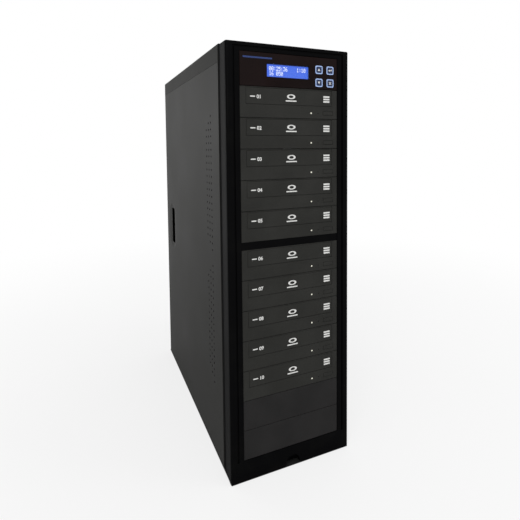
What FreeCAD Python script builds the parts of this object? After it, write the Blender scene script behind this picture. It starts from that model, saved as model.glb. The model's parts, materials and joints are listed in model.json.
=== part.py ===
import FreeCAD, Part
import math
import os

Vector = FreeCAD.Vector

# Frame: X runs right across the front, the front faces -Y, Z is up, and the origin is on the floor
# under the middle of the tower. All lengths are in millimetres.

# Overall size
overall_width = 190.0
overall_height = 610.0
overall_depth = 450.0

# Stock and clearances
sheet = 1.0  # steel of the case
slide_gap = 0.3  # between pieces that slide past each other
fit_gap = 0.1  # between pieces that are screwed or clipped together
bore_gap = 0.06  # round a shaft in its bore
overrun = 1.0  # how far a cutting tool runs past what it cuts

# Outer skin
shell_inset = 0.5  # steel skin inside the widest width
foot_height = 3.0
thumb_head_length = 7.0
cover_flange = 25.0  # side of the top cover, down to its seam
cover_bend = 1.6
lap_height = 15.0  # joggled strip that the side panel covers
lap_end = 16.0  # its distance from each end of the cover
seam = 0.8  # between the moulded bezel and the side panel

# Front bezel
bezel_depth = 35.0
bezel_wall = 2.5
bezel_face = 3.0
bezel_side_round = 2.5
bezel_side_draft = 2.0  # on each side, at the back
bezel_side_straight = 6.0  # behind the face, before the draft starts
bezel_column = 18.9  # beside the bays
top_band = 14.5  # above the control panel
bezel_top_round = 2.0
bezel_top_step = 0.5
bezel_top_fall = 2.2
bezel_foot_clear = 0.6
bezel_foot_width = 10.6
skirt_clear = 2.4
liner_wall = 2.0
liner_depth = 18.0
groove_width = 2.6
groove_depth = 1.8
groove_from_opening = 8.2
groove_bottom_clear = 30.0
groove_top_from_edge = 5.0
crossbar_height = 10.3
crossbar_setback = 0.9
notch_width = 22.0
notch_straight = 3.0
notch_depth = 9.0
clip_width = 8.0
clip_thick = 2.0
clip_hook = 1.2
clip_reach = 2.0
clip_from_side = 10.5
clip_height_shares = (0.08, 0.36, 0.64, 0.92)

# Bays
bay_bottom = 30.4
upper_bays = 5
lower_bays = 5
blank_bays = 2
face_split = 0.5  # between the faces of two bays
face_side_gap = 0.3
face_recess = 0.6
face_edge = 0.7

# Bay blanks
blank_plate = 2.5
blank_rim = 2.0
blank_rim_depth = 9.0
blank_rim_inset = 0.6
relief_shares = (1 / 3, 2 / 3)

# Chassis
lap_flange = 14.0
front_opening_grow = 0.7
cage_flange = 8.0
cage_depth = 146.0
pan_side = 18.0
rear_turn = 12.0
slot_long = 11.0
slot_wide = 3.6
window_long = 44.0
window_wide = 18.0
window_rise = 15.0  # its middle above the bottom of the drive

# Side panels
panel_flange = 12.0
panel_bottom_gap = 0.2
panel_edge_round = 0.6
panel_travel = 18.0
hook_stem = 8.0
hook_lip = 9.0
hook_high = 6.0
hook_thick = 1.2
hook_slot_gap = 0.5
hook_shares = (0.17, 0.5, 0.8)
cup_from_front = 383.0
cup_centre_height = 302.0
cup_mouth_wide = 66.0
cup_mouth_tall = 96.0
cup_floor_wide = 36.0
cup_floor_tall = 84.0
cup_depth = 1.4
finger_wide = 28.0
finger_tall = 74.0
finger_corner = 3.0
hole_radius = 1.6
hole_row_pitch = 10.0
hole_column_pitch = 12.0
hole_first_column = 77.0
hole_columns = 3
hole_group_drop = 71.0  # first row of the upper group under the cover's seam
hole_group_step = 224.0  # from group to group
hole_group_rows = 21, 19

# Thumb screws
thumb_head_radius = 5.2
thumb_shank_radius = 1.75
thumb_shank_length = 9.0
thumb_hole_gap = 0.35
thumb_edge = 0.8
thumb_flutes = 14
thumb_flute_radius = 0.9
thumb_collar_length = 1.6
thumb_collar_radius = 4.3
thumb_height_shares = (0.16, 0.82)
thumb_from_side = 6.0

# Machine screws
screw_shank_radius = 1.5
screw_head_radius = 2.9
screw_head_height = 1.9
screw_hole_gap = 0.06
screw_cross_wide = 0.8
screw_cross_long = 3.4
screw_cross_deep = 1.0
screw_grip = 3.2
fan_screw_grip = 9.6

# Control panel
fascia_height = 46.0
fascia_edge_gap = 0.3
fascia_thick = 2.0
fascia_recess = 0.5
control_plate = 1.2
lcd_window_tall = 17.6
lcd_from_side = 40.15  # left end of the window, from the side of the bay
lcd_from_buttons = 9.55
lcd_centre_rise = 22.5  # above the bottom of the panel
lcd_glass_gap = 0.2
lcd_glass_recess = 0.5
lcd_frame_margin = 3.25
lcd_frame_tall = 24.4
lcd_frame_deep = 8.2
lcd_board_margin = 7.25
lcd_board_tall = 36.0
board_thick = 1.6
button_size = 12.4
button_round = 2.6
button_pitch_x = 18.4
button_pitch_z = 18.3
button_from_side = 21.6  # middle of the four, from the side of the bay
button_centre_rise = 18.9
button_edge = 0.5
button_flange = 0.9
button_flange_thick = 1.0
button_stem_radius = 2.0
button_travel = 0.8
button_setback = 0.1  # of the caps, behind the bezel's front
switch_body = 6.0
switch_height = 3.4
post_radius = 2.0
post_inset_x = 3.0
post_inset_z = 3.0

# Controller in the top bay
housing_height = 41.3
housing_wall = 1.0
control_board_edge = 0.3
control_board_from_plate = 16.3
control_board_margin = 2.4
main_board_side_gap = 4.0
main_board_front_gap = 9.0
main_board_rear_gap = 8.0
standoff_height = 6.0
standoff_radius = 2.6
standoff_inset = 6.0
port_wide = 8.0
port_deep = 10.0
port_tall = 7.0
port_overhang = 2.0
chip_size = 28.0
chip_height = 3.0
sink_height = 11.0
sink_fin = 1.4
sink_fin_pitch = 3.5
chip_rear_gap = 30.0
memory_size = 14.0
memory_height = 2.0
header_wide = 26.0
header_deep = 6.0
header_tall = 6.0
header_rise = 26.0  # of the key board's header, above the floor of the tray
ribbon_wide = 22.0
ribbon_thick = 1.0

# Optical drives
drive_side_inset = 3.1  # of the casing, inside the side of the bay
drive_split = 1.1  # between two casings
drive_length = 168.0
drive_skin = 0.8
drive_face_thick = 5.0
door_side_inset = 9.0
door_rise = 18.4  # above the bottom of the face
door_from_top = 1.5
door_thick = 2.6
door_gap = 0.3
door_edge = 0.6
tray_side_gap = 8.5
tray_plate = 5.0
tray_above_door_bottom = 3.0
tray_rim = 3.2
tray_rim_height = 3.4
tray_travel = 135.0
tray_kept = 13.0  # what stays inside when it is out
disc_side_wall = 4.0
disc_depth = 2.2
small_disc_radius = 40.5
small_disc_depth = 0.9
disc_from_door = 68.0
tray_slot_wide = 36.0
tray_slot_length = 66.0
runner_wide = 8.0
runner_thick = 1.5
led_radius = 1.1
led_from_side = 43.3
led_rise = 8.0
led_gap = 0.08
eject_width = 16.0
eject_height = 5.6
eject_from_side = 15.6
eject_rise = 8.4
eject_edge = 0.5
eject_flange = 1.0
eject_flange_thick = 1.0
eject_gap = 0.3
eject_proud = 0.3
pin_hole_radius = 0.7
pin_hole_from_side = 32.2
drive_screw_rise = 10.0
drive_screw_front = 47.5
drive_screw_rear = 127.0
mech_wide = 84.0
mech_long = 108.0
mech_plate = 1.6
mech_rise = 5.0
mech_post_radius = 2.5
mech_post_inset = 5.0
mech_front_gap = 14.0
motor_radius = 13.0
motor_height = 4.5
hub_radius = 7.0
hub_height = 2.2
pickup_wide = 30.0
pickup_long = 22.0
pickup_height = 4.0
pickup_from_hub = 46.0
lens_radius = 3.5
lens_height = 1.0

# Power supply
psu_side_gap = 17.2
psu_height = 86.0
psu_length = 140.0
psu_wall = 1.0
psu_window_inset = 8.0
psu_fan_from_side = 45.0
psu_fan_margin = 41.0  # of its radius under half the supply's width
psu_fan_hub = 13.0
psu_fan_deep = 13.0
psu_fan_gap = 4.0
psu_grille_step = 6.0
psu_grille_slot = 3.4
psu_bar_wide = 9.0
psu_bar_thick = 2.0
psu_pin_radius = 1.5
psu_pin_length = 10.0
psu_vent_wide = 3.0
psu_vent_tall = 50.0
psu_vent_pitch = 7.0
psu_vents = 14
psu_screw_inset = 3.0

# Power inlet with its rocker switch
inlet_from_side = 27.0
inlet_plate_wide = 31.0
inlet_plate_tall = 55.0
inlet_plate_thick = 2.0
inlet_body_wide = 27.5
inlet_body_tall = 49.0
inlet_body_deep = 20.0
socket_wide = 24.4
socket_tall = 16.6
socket_deep = 16.5
socket_cut = 4.0
socket_from_bottom = 4.0
blade_wide = 4.0
blade_thick = 2.0
blade_length = 11.5
blade_pitch = 14.0
blade_rise = 1.6
rocker_wide = 12.6
rocker_long = 18.6
rocker_from_top = 3.6
rocker_well_gap = 1.2
rocker_side_gap = 0.3
rocker_well_deep = 11.0
rocker_pivot_deep = 3.2
rocker_pin_radius = 1.1
rocker_pin_reach = 2.0
rocker_rest_angle = 9.0
rocker_rise = 3.4
rocker_waist = 1.4
rocker_keel = 5.5
rocker_keel_wide = 9.0

# Case fans
fan_size = 120.0
fan_deep = 25.0
fan_bore = 58.0
fan_corner = 5.0
fan_screw_pitch = 105.0
fan_drop = 49.5  # middle of the upper fan under the control panel
fan_spacing = 150.0
fan_strut_wide = 5.0
fan_strut_deep = 3.0
fan_boss_radius = 21.0
fan_pin_radius = 2.0
fan_pin_length = 12.0
rotor_hub_radius = 19.5
rotor_deep = 19.0
rotor_gap = 0.5
rotor_tip_gap = 1.6
blade_chord = 25.0
blade_sheet = 1.8
blade_angle = 40.0
fan_blades = 7
guard_wire = 0.9
guard_ring_radii = (16.0, 28.0, 40.0, 52.0)
guard_eye_radius = 4.2
guard_eye_thick = 1.0
guard_ring_lift = 0.5  # of the rings' middle over the spokes' middle

# Rear vents
vent_slot_wide = 56.0
vent_slot_tall = 3.2
vent_pitch = 8.0
vent_fan_gap = 52.0
vent_bottom = 126.0
vent_centre_x = 34.0

# Rubber feet
pad_radius = 9.0
pad_edge = 0.8
pad_from_side = 22.0
pad_from_end = 30.0

# Cables inside the case
data_radius = 1.6
data_bend = 7.0
data_start_margin = 17.0
data_end_margin = 13.0
data_lane_start = 24.0
data_lane_step = 5.0
data_turn_drop = 28.0
plug_wide = 7.5
plug_tall = 5.4
plug_deep = 12.0
plug_rise = 13.8  # above the bottom of the drive
power_from_data = 24.0  # between the two plugs of a drive
power_radius = 2.2
power_bend = 10.0
power_plug_wide = 22.0
power_plug_tall = 6.0
power_trunk_back = 9.0
power_lane_back = 24.0
power_low_rise = 36.0
power_high_rise = 58.0
power_cross = 14.0
power_tail = 4.0
board_power_margin = 3.0
board_power_rail_gap = 4.2
fan_lead_radius = 1.2
fan_lead_bend = 5.0
fan_lead_forward = 11.0
fan_lead_x = -57.0
fan_lead_side = 8.0
fan_lead_step = 4.4
fan_lead_drop = 20.0

# Places worked out from the sizes above
front_y = -overall_depth / 2
rear_y = overall_depth / 2
skin_rear_y = rear_y - thumb_head_length
plate_rear_y = skin_rear_y - sheet - fit_gap
plate_inner_y = plate_rear_y - sheet
bezel_back_y = front_y + bezel_depth
frame_back_y = bezel_back_y + sheet
shell_half = overall_width / 2 - shell_inset
rail_half = shell_half - sheet - slide_gap
rail_inner = rail_half - sheet
floor_top = foot_height + sheet
cover_under = overall_height - sheet
cover_seam_z = overall_height - cover_flange
opening_half = overall_width / 2 - bezel_column
face_half = opening_half - face_side_gap
bays = upper_bays + lower_bays + blank_bays
bay_pitch = (overall_height - bay_bottom - crossbar_height - fascia_height - top_band) / bays
face_height = bay_pitch - face_split
drive_height = bay_pitch - drive_split
door_height = face_height - door_from_top - door_rise
lower_top = bay_bottom + (lower_bays + blank_bays) * bay_pitch
upper_bottom = lower_top + crossbar_height
drives_top = upper_bottom + upper_bays * bay_pitch
panel_top = drives_top + fascia_height
face_y = front_y + face_recess
face_back_y = face_y + drive_face_thick
drive_back_y = face_y + drive_length
drive_half = opening_half - drive_side_inset
door_half = face_half - door_side_inset
tray_half = drive_half - tray_side_gap
disc_radius = tray_half - disc_side_wall
led_x = face_half - led_from_side
eject_x = face_half - eject_from_side
pin_hole_x = face_half - pin_hole_from_side
cage_inner = drive_half + 2 * fit_gap
cage_outer = cage_inner + sheet
cage_back_y = frame_back_y + cage_depth
drive_screw_ys = (face_back_y + drive_screw_front, face_back_y + drive_screw_rear)
cup_y = front_y + cup_from_front
plate_front_y = front_y + fascia_recess + fascia_thick
plate_back_y = plate_front_y + control_plate
button_front_y = front_y + button_setback
psu_front_y = plate_inner_y - psu_length
psu_top = floor_top + psu_height
psu_middle = floor_top + psu_height / 2
psu_half = rail_inner - psu_side_gap
psu_fan_x = psu_fan_from_side - psu_half
psu_fan_radius = psu_half - psu_fan_margin
inlet_x = psu_half - inlet_from_side
fan_heights = (drives_top - fan_drop, drives_top - fan_drop - fan_spacing)
vent_span = fan_heights[1] - fan_size / 2 - vent_fan_gap - vent_bottom
vent_rows = 1 + round(vent_span / vent_pitch)
hole_group_tops = (cover_seam_z - hole_group_drop, cover_seam_z - hole_group_drop - hole_group_step)
housing_bottom = drives_top + fascia_height / 2 - housing_height / 2
housing_floor = housing_bottom + housing_wall
main_board_bottom = housing_floor + standoff_height
main_board_top = main_board_bottom + board_thick
main_board_front = plate_back_y + control_board_from_plate + board_thick + main_board_front_gap
main_board_rear = drive_back_y - main_board_rear_gap
tray_length = tray_travel + tray_kept
button_centre_x = opening_half - button_from_side
lcd_left = lcd_from_side - opening_half
lcd_right = button_centre_x - (button_pitch_x + button_size) / 2 - lcd_from_buttons
lcd_centre_x = (lcd_left + lcd_right) / 2
lcd_window_half = (lcd_right - lcd_left) / 2
lcd_centre_z = drives_top + lcd_centre_rise
button_centre_z = drives_top + button_centre_rise
control_board_y = plate_back_y + control_board_from_plate
main_board_half = drive_half - main_board_side_gap
data_x = data_start_margin - main_board_half
data_port_pitch = (main_board_half - data_end_margin - data_x) / (upper_bays + lower_bays - 1)
power_x = data_x + power_from_data
board_power_x = main_board_half - board_power_margin
board_power_lane = rail_inner - board_power_rail_gap


# Bottom edges of the ten drives, numbered from the top
def drive_bottoms():
    upper = [upper_bottom + (upper_bays - 1 - i) * bay_pitch for i in range(upper_bays)]
    start = bay_bottom + blank_bays * bay_pitch
    lower = [start + (lower_bays - 1 - i) * bay_pitch for i in range(lower_bays)]
    return upper + lower


# Basic shapes
def box(x0, x1, y0, y1, z0, z1):
    return Part.makeBox(x1 - x0, y1 - y0, z1 - z0, Vector(x0, y0, z0))


def bar_x(radius, x0, x1, y, z):
    return Part.makeCylinder(radius, x1 - x0, Vector(x0, y, z), Vector(1, 0, 0))


def bar_y(radius, y0, y1, x, z):
    return Part.makeCylinder(radius, y1 - y0, Vector(x, y0, z), Vector(0, 1, 0))


def bar_z(radius, z0, z1, x, y):
    return Part.makeCylinder(radius, z1 - z0, Vector(x, y, z0), Vector(0, 0, 1))


def mirrored(shape):
    return shape.mirror(Vector(0, 0, 0), Vector(1, 0, 0))


def prism_x(points, x0, x1):
    loop = [Vector(x0, y, z) for y, z in points]
    face = Part.Face(Part.makePolygon(loop + [loop[0]]))
    return face.extrude(Vector(x1 - x0, 0, 0))


def prism_z(points, z0, z1):
    wire = Part.makePolygon([Vector(x, y, z0) for x, y in points + points[:1]])
    return Part.Face(wire).extrude(Vector(0, 0, z1 - z0))


def prism_y(points, y0, y1):
    loop = [Vector(x, y0, z) for x, z in points]
    face = Part.Face(Part.makePolygon(loop + [loop[0]]))
    return face.extrude(Vector(0, y1 - y0, 0))


# Edges of a shape that run along one axis, and that lie wholly in one plane across Y
def edges_along(shape, axis):
    found = []
    for edge in shape.Edges:
        if len(edge.Vertexes) == 2:
            way = edge.Vertexes[1].Point - edge.Vertexes[0].Point
            if abs(getattr(way, axis)) > (1 - 1e-6) * way.Length > 0:
                found.append(edge)
    return found


def edges_in_plane_y(shape, y):
    near = slide_gap * 1e-3
    return [e for e in shape.Edges if abs(e.BoundBox.YMin - y) < near and abs(e.BoundBox.YMax - y) < near]


def rounded_block(x0, x1, y0, y1, z0, z1, radius, front_edge=0):
    block = box(x0, x1, y0, y1, z0, z1)
    block = block.makeFillet(radius, edges_along(block, "y"))
    if front_edge:
        block = block.makeChamfer(front_edge, edges_in_plane_y(block, y0))
    return block


# A flat slot with round ends, long across one axis and cut through a wall that faces X or Y
def slot_wire_x(x, y, z, wide, tall):
    r = wide / 2
    h = tall / 2 - r
    a = Vector(x, y - r, z - h)
    b = Vector(x, y - r, z + h)
    c = Vector(x, y + r, z + h)
    d = Vector(x, y + r, z - h)
    top = Part.Arc(b, Vector(x, y, z + h + r), c).toShape()
    low = Part.Arc(d, Vector(x, y, z - h - r), a).toShape()
    return Part.Wire([Part.LineSegment(a, b).toShape(), top, Part.LineSegment(c, d).toShape(), low])


def flat_slot_x(x0, x1, y, z, long, high):
    r = high / 2
    reach = long / 2 - r
    middle = box(x0, x1, y - reach, y + reach, z - r, z + r)
    return middle.fuse([bar_x(r, x0, x1, y - reach, z), bar_x(r, x0, x1, y + reach, z)])


def flat_slot_y(y0, y1, x, z, long, high):
    r = high / 2
    reach = long / 2 - r
    middle = box(x - reach, x + reach, y0, y1, z - r, z + r)
    return middle.fuse([bar_y(r, y0, y1, x - reach, z), bar_y(r, y0, y1, x + reach, z)])


def clean(shape):
    return shape.removeSplitter()


# A round tube along straight runs joined by tangent arcs
def tube(points, radius, bend):
    edges = []
    start = points[0]
    for before, corner, after in zip(points, points[1:], points[2:]):
        way_in = (corner - before).normalize()
        way_out = (after - corner).normalize()
        turn = way_in.getAngle(way_out)
        setback = bend * math.tan(turn / 2)
        a = corner - way_in * setback
        b = corner + way_out * setback
        half_way = (way_out - way_in).normalize()
        centre = corner + half_way * (bend / math.cos(turn / 2))
        edges.append(Part.LineSegment(start, a).toShape())
        edges.append(Part.Arc(a, centre - half_way * bend, b).toShape())
        start = b
    edges.append(Part.LineSegment(start, points[-1]).toShape())
    path = Part.Wire(edges)
    way = (points[1] - points[0]).normalize()
    ring = Part.Wire([Part.makeCircle(radius, points[0], way)])
    return path.makePipeShell([ring], True, True)


# Steel chassis
def base_pan():
    floor = box(-rail_half, rail_half, frame_back_y, plate_inner_y, foot_height, floor_top)
    pieces = [floor]
    y0 = frame_back_y + lap_end
    y1 = plate_inner_y - lap_end
    for side in (-1, 1):
        x0, x1 = sorted((side * rail_inner, side * rail_half))
        pieces.append(box(x0, x1, y0, y1, foot_height, foot_height + pan_side))
    pan = clean(pieces[0].fuse(pieces[1:]))
    return pan.cut(hook_slots(hook_heights()[0]))


def hook_ys():
    span = skin_rear_y - bezel_back_y
    return [bezel_back_y + share * span for share in hook_shares]


def hook_heights():
    return foot_height + pan_side / 2 + sheet / 2, cover_seam_z - lap_height / 2


# Slots that the hooks of both side panels slide along
def hook_slots(z):
    cuts = []
    reach = hook_high / 2 + hook_slot_gap
    for y in hook_ys():
        for side in (-1, 1):
            x0, x1 = sorted((side * (rail_inner - overrun), side * (rail_half + overrun)))
            y1 = y + hook_stem + panel_travel + hook_slot_gap
            cuts.append(box(x0, x1, y - hook_slot_gap, y1, z - reach, z + reach))
    return cuts


def front_frame():
    plate = box(-rail_half, rail_half, bezel_back_y, frame_back_y, floor_top, cover_under)
    pieces = [plate]
    y1 = frame_back_y + lap_flange
    for side in (-1, 1):
        x0, x1 = sorted((side * rail_inner, side * rail_half))
        pieces.append(box(x0, x1, bezel_back_y, y1, floor_top, cover_under))
    gap = cage_outer + cage_flange + slide_gap
    for side in (-1, 1):
        x0, x1 = sorted((side * gap, side * rail_inner))
        pieces.append(box(x0, x1, bezel_back_y, y1, floor_top, floor_top + sheet))
        pieces.append(box(x0, x1, bezel_back_y, y1, cover_under - sheet, cover_under))
    frame = clean(pieces[0].fuse(pieces[1:]))
    half = opening_half + front_opening_grow
    low = bay_bottom - liner_wall - front_opening_grow
    high = panel_top + liner_wall + front_opening_grow
    y0 = bezel_back_y - overrun
    y2 = frame_back_y + overrun
    cuts = [box(-half, half, y0, y2, low, high)]
    for z in clip_heights():
        for side in (-1, 1):
            inner = clip_inner() - slide_gap
            outer = clip_inner() + clip_thick + clip_hook + slide_gap
            x0, x1 = sorted((side * inner, side * outer))
            reach = clip_width / 2 + slide_gap
            cuts.append(box(x0, x1, y0, y2, z - reach, z + reach))
    return frame.cut(cuts)


def clip_inner():
    return overall_width / 2 - clip_from_side


def clip_heights():
    return [share * overall_height for share in clip_height_shares]


def drive_cage(side):
    y0 = frame_back_y
    wall = box(cage_inner, cage_outer, y0, cage_back_y, floor_top, cover_under)
    x1 = cage_outer + cage_flange
    pieces = [wall]
    pieces.append(box(cage_inner, x1, y0, y0 + sheet, floor_top, cover_under))
    pieces.append(box(cage_inner, x1, cage_back_y - sheet, cage_back_y, floor_top, cover_under))
    pieces.append(box(cage_inner, x1, y0, cage_back_y, floor_top, floor_top + sheet))
    pieces.append(box(cage_inner, x1, y0, cage_back_y, cover_under - sheet, cover_under))
    cage = clean(pieces[0].fuse(pieces[1:]))
    cuts = []
    xa = cage_inner - overrun
    xb = cage_outer + overrun
    window_y = (drive_screw_ys[0] + drive_screw_ys[1]) / 2
    for bottom in drive_bottoms() + [housing_bottom]:
        z = bottom + drive_screw_rise
        for y in drive_screw_ys:
            cuts.append(flat_slot_x(xa, xb, y, z, slot_long, slot_wide))
        cuts.append(flat_slot_x(xa, xb, window_y, bottom + window_rise, window_long, window_wide))
    cage = cage.cut(cuts)
    return cage if side > 0 else mirrored(cage)


# Top cover, with a joggled strip under each seam that the side panels lap
def top_cover():
    y0 = bezel_back_y + seam
    y1 = skin_rear_y
    outer = box(-shell_half, shell_half, y0, y1, cover_seam_z, overall_height)
    top_edges = [e for e in edges_along(outer, "y") if e.BoundBox.ZMin > cover_seam_z + sheet]
    outer = outer.makeFillet(cover_bend, top_edges)
    half = shell_half - sheet
    inner = box(-half, half, y0 - overrun, y1 + overrun, cover_seam_z - overrun, cover_under)
    inner_edges = [e for e in edges_along(inner, "y") if e.BoundBox.ZMin > cover_seam_z]
    inner = inner.makeFillet(cover_bend - sheet, inner_edges)
    cover = outer.cut(inner)
    ya = frame_back_y + lap_end
    yb = plate_inner_y - lap_end
    pieces = []
    for side in (-1, 1):
        x0, x1 = sorted((side * rail_inner, side * (shell_half - sheet / 2)))
        pieces.append(box(x0, x1, ya, yb, cover_seam_z, cover_seam_z + sheet))
        x0, x1 = sorted((side * rail_inner, side * rail_half))
        pieces.append(box(x0, x1, ya, yb, cover_seam_z - lap_height, cover_seam_z + sheet))
    cover = clean(cover.fuse(pieces))
    return cover.cut(hook_slots(hook_heights()[1]))


def rear_panel():
    plate = box(-rail_half, rail_half, plate_inner_y, plate_rear_y, floor_top, cover_under)
    pieces = [plate]
    y0 = plate_inner_y - rear_turn
    for side in (-1, 1):
        x0, x1 = sorted((side * rail_inner, side * rail_half))
        pieces.append(box(x0, x1, y0, plate_rear_y, floor_top, cover_under))
    pieces.append(box(-rail_half, rail_half, y0, plate_rear_y, cover_under - sheet, cover_under))
    panel = clean(pieces[0].fuse(pieces[1:]))
    ya = plate_inner_y - overrun
    yb = plate_rear_y + overrun
    cuts = []
    inset = psu_window_inset
    wide = psu_half - inset
    cuts.append(box(-wide, wide, ya, yb, floor_top + inset, psu_top - inset))
    for height in fan_heights:
        cuts.append(bar_y(fan_bore, ya, yb, 0, height))
    for row in range(vent_rows):
        z = vent_bottom + row * vent_pitch
        for side in (-1, 1):
            cuts.append(flat_slot_y(ya, yb, side * vent_centre_x, z, vent_slot_wide, vent_slot_tall))
    for x, z in thumb_places():
        cuts.append(bar_y(thumb_shank_radius + thumb_hole_gap, ya, yb, x, z))
    for x, z in fan_screw_places() + psu_screw_places():
        cuts.append(bar_y(screw_shank_radius + screw_hole_gap, ya, yb, x, z))
    return panel.cut(cuts)


def rubber_feet():
    pads = []
    for side in (-1, 1):
        for y in (bezel_back_y + pad_from_end, plate_rear_y - pad_from_end):
            x = side * (shell_half - pad_from_side)
            pad = bar_z(pad_radius, 0, foot_height, x, y)
            low = [e for e in pad.Edges if e.BoundBox.ZMax < foot_height / 2]
            pads.append(pad.makeChamfer(pad_edge, low))
    return Part.makeCompound(pads)


# Side panels
def thumb_places():
    span = cover_seam_z
    places = []
    for share in thumb_height_shares:
        for side in (-1, 1):
            places.append((side * (shell_half - thumb_from_side), share * span))
    return places


def perforations():
    holes = []
    for top, rows in zip(hole_group_tops, hole_group_rows):
        for row in range(rows):
            for column in range(min(row + 1, rows - row, hole_columns)):
                y = front_y + hole_first_column + column * hole_column_pitch
                z = top - row * hole_row_pitch
                holes.append(bar_x(hole_radius, shell_half - sheet - overrun, shell_half + overrun, y, z))
    return holes


# Tapered dish of the finger recess, between the mouth and the floor, grown for its outer skin
def cup_body(mouth_x, floor_x, grow):
    mouth = slot_wire_x(mouth_x, cup_y, cup_centre_height, cup_mouth_wide + grow, cup_mouth_tall + grow)
    floor = slot_wire_x(floor_x, cup_y, cup_centre_height, cup_floor_wide + grow, cup_floor_tall + grow)
    return Part.makeLoft([mouth, floor], True)


def side_panel(side):
    y0 = bezel_back_y + seam
    z0 = foot_height + panel_bottom_gap
    z1 = cover_seam_z - slide_gap
    inner = shell_half - sheet
    plate = box(inner, shell_half, y0, skin_rear_y, z0, z1)
    front = [e for e in edges_in_plane_y(plate, y0) if e.BoundBox.XMin > inner + sheet / 2]
    plate = plate.makeFillet(panel_edge_round, front)
    flange = box(shell_half - panel_flange, shell_half, skin_rear_y - sheet, skin_rear_y, z0, z1)
    floor_x = shell_half - cup_depth
    low_x = floor_x - sheet
    pocket = cup_body(shell_half, floor_x, 0)
    pieces = [flange, cup_body(shell_half - sheet / 2, low_x, 2 * sheet)]
    stem_x0 = rail_inner - slide_gap - hook_thick
    for y in hook_ys():
        for z in hook_heights():
            za = z - hook_high / 2
            zb = z + hook_high / 2
            pieces.append(box(stem_x0, inner + sheet / 2, y, y + hook_stem, za, zb))
            pieces.append(box(stem_x0, stem_x0 + hook_thick, y - hook_lip, y + sheet, za, zb))
    panel = clean(plate.fuse(pieces))
    w = finger_wide / 2
    t = finger_tall / 2
    z = cup_centre_height
    finger = box(low_x - overrun, shell_half, cup_y - w, cup_y + w, z - t, z + t)
    finger = finger.makeFillet(finger_corner, edges_along(finger, "x"))
    cuts = [pocket, finger]
    cuts += perforations()
    for x, z in thumb_places():
        if x > 0:
            reach = thumb_shank_radius + thumb_hole_gap
            cuts.append(bar_y(reach, skin_rear_y - sheet - overrun, skin_rear_y + overrun, x, z))
    panel = panel.cut(cuts)
    return panel if side > 0 else mirrored(panel)


def thumb_screw(x, z):
    y0 = skin_rear_y + thumb_collar_length
    head = bar_y(thumb_head_radius, y0, rear_y, x, z)
    head = head.makeChamfer(thumb_edge, edges_in_plane_y(head, rear_y) + edges_in_plane_y(head, y0))
    flutes = []
    for i in range(thumb_flutes):
        angle = 2 * math.pi * i / thumb_flutes
        fx = x + thumb_head_radius * math.cos(angle)
        fz = z + thumb_head_radius * math.sin(angle)
        flutes.append(bar_y(thumb_flute_radius, skin_rear_y, rear_y + overrun, fx, fz))
    head = head.cut(flutes)
    collar = bar_y(thumb_collar_radius, skin_rear_y, y0 + overrun, x, z)
    shank = bar_y(thumb_shank_radius, skin_rear_y - thumb_shank_length, rear_y - overrun, x, z)
    screw = clean(head.fuse([collar, shank]))
    half = screw_cross_wide / 2
    reach = thumb_head_radius / 2
    deep = rear_y - screw_cross_deep
    cross = [box(x - half, x + half, deep, rear_y + overrun, z - reach, z + reach)]
    cross.append(box(x - reach, x + reach, deep, rear_y + overrun, z - half, z + half))
    return screw.cut(cross)


def thumb_screws(side):
    return Part.makeCompound([thumb_screw(x, z) for x, z in thumb_places() if x * side > 0])


# Front bezel
def bezel_plan(inset, y0, y1):
    a = overall_width / 2 - inset
    start = front_y + bezel_side_straight
    b = a - bezel_side_draft * (y1 - start) / (bezel_back_y - start)
    loop = [(-a, y0), (a, y0), (a, start), (b, y1), (-b, y1), (-a, start)]
    return prism_z(loop, 0, overall_height)


def front_bezel():
    half = overall_width / 2
    top_back = overall_height - bezel_top_step
    top_front = top_back - bezel_top_fall
    low = bezel_foot_clear
    outline = [(bezel_back_y, low), (front_y, low), (front_y, top_front), (bezel_back_y, top_back)]
    body = prism_x(outline, -half, half).common(bezel_plan(0, front_y, bezel_back_y))
    edges = [e for e in edges_in_plane_y(body, front_y) if e.BoundBox.ZLength > overall_height / 2]
    body = body.makeFillet(bezel_side_round, edges)
    edges = [e for e in edges_in_plane_y(body, front_y) if e.BoundBox.ZMin > top_front - bezel_wall]
    body = body.makeFillet(bezel_top_round, edges)
    face = front_y + bezel_face
    slope_top = top_front - bezel_wall
    inset = [(bezel_back_y + overrun, low + bezel_wall), (face, low + bezel_wall), (face, slope_top)]
    inset.append((bezel_back_y + overrun, top_back - bezel_wall))
    body = body.cut(prism_x(inset, -half, half).common(bezel_plan(bezel_wall, face, bezel_back_y + overrun)))
    liner_y = front_y + liner_depth
    openings = ((bay_bottom, lower_top), (upper_bottom, panel_top))
    w = liner_wall
    liners = []
    for z0, z1 in openings:
        liners.append(box(-opening_half - w, opening_half + w, face - overrun, liner_y, z0 - w, z1 + w))
    body = body.fuse(liners + notch_backing())
    cuts = []
    for z0, z1 in openings:
        cuts.append(box(-opening_half, opening_half, front_y - overrun, liner_y + overrun, z0, z1))
    cuts += groove_cuts(top_front)
    bar_y1 = front_y + crossbar_setback
    cuts.append(box(-opening_half, opening_half, front_y - overrun, bar_y1, lower_top, upper_bottom))
    foot_x = half - bezel_foot_width
    cuts.append(box(-foot_x, foot_x, front_y - overrun, bezel_back_y + overrun, 0, skirt_clear))
    cuts += notch_cuts()
    body = clean(body.cut(cuts))
    return clean(body.fuse(bezel_clips()))


def groove_cuts(top_front):
    inner = opening_half + groove_from_opening - groove_width / 2
    outer = inner + groove_width
    ya = front_y - overrun
    yb = front_y + groove_depth
    z1 = top_front - groove_top_from_edge
    cuts = [box(-outer, outer, ya, yb, z1 - groove_width, z1)]
    for side in (-1, 1):
        x0, x1 = sorted((side * inner, side * outer))
        cuts.append(box(x0, x1, ya, yb, groove_bottom_clear, z1))
    return cuts


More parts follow.
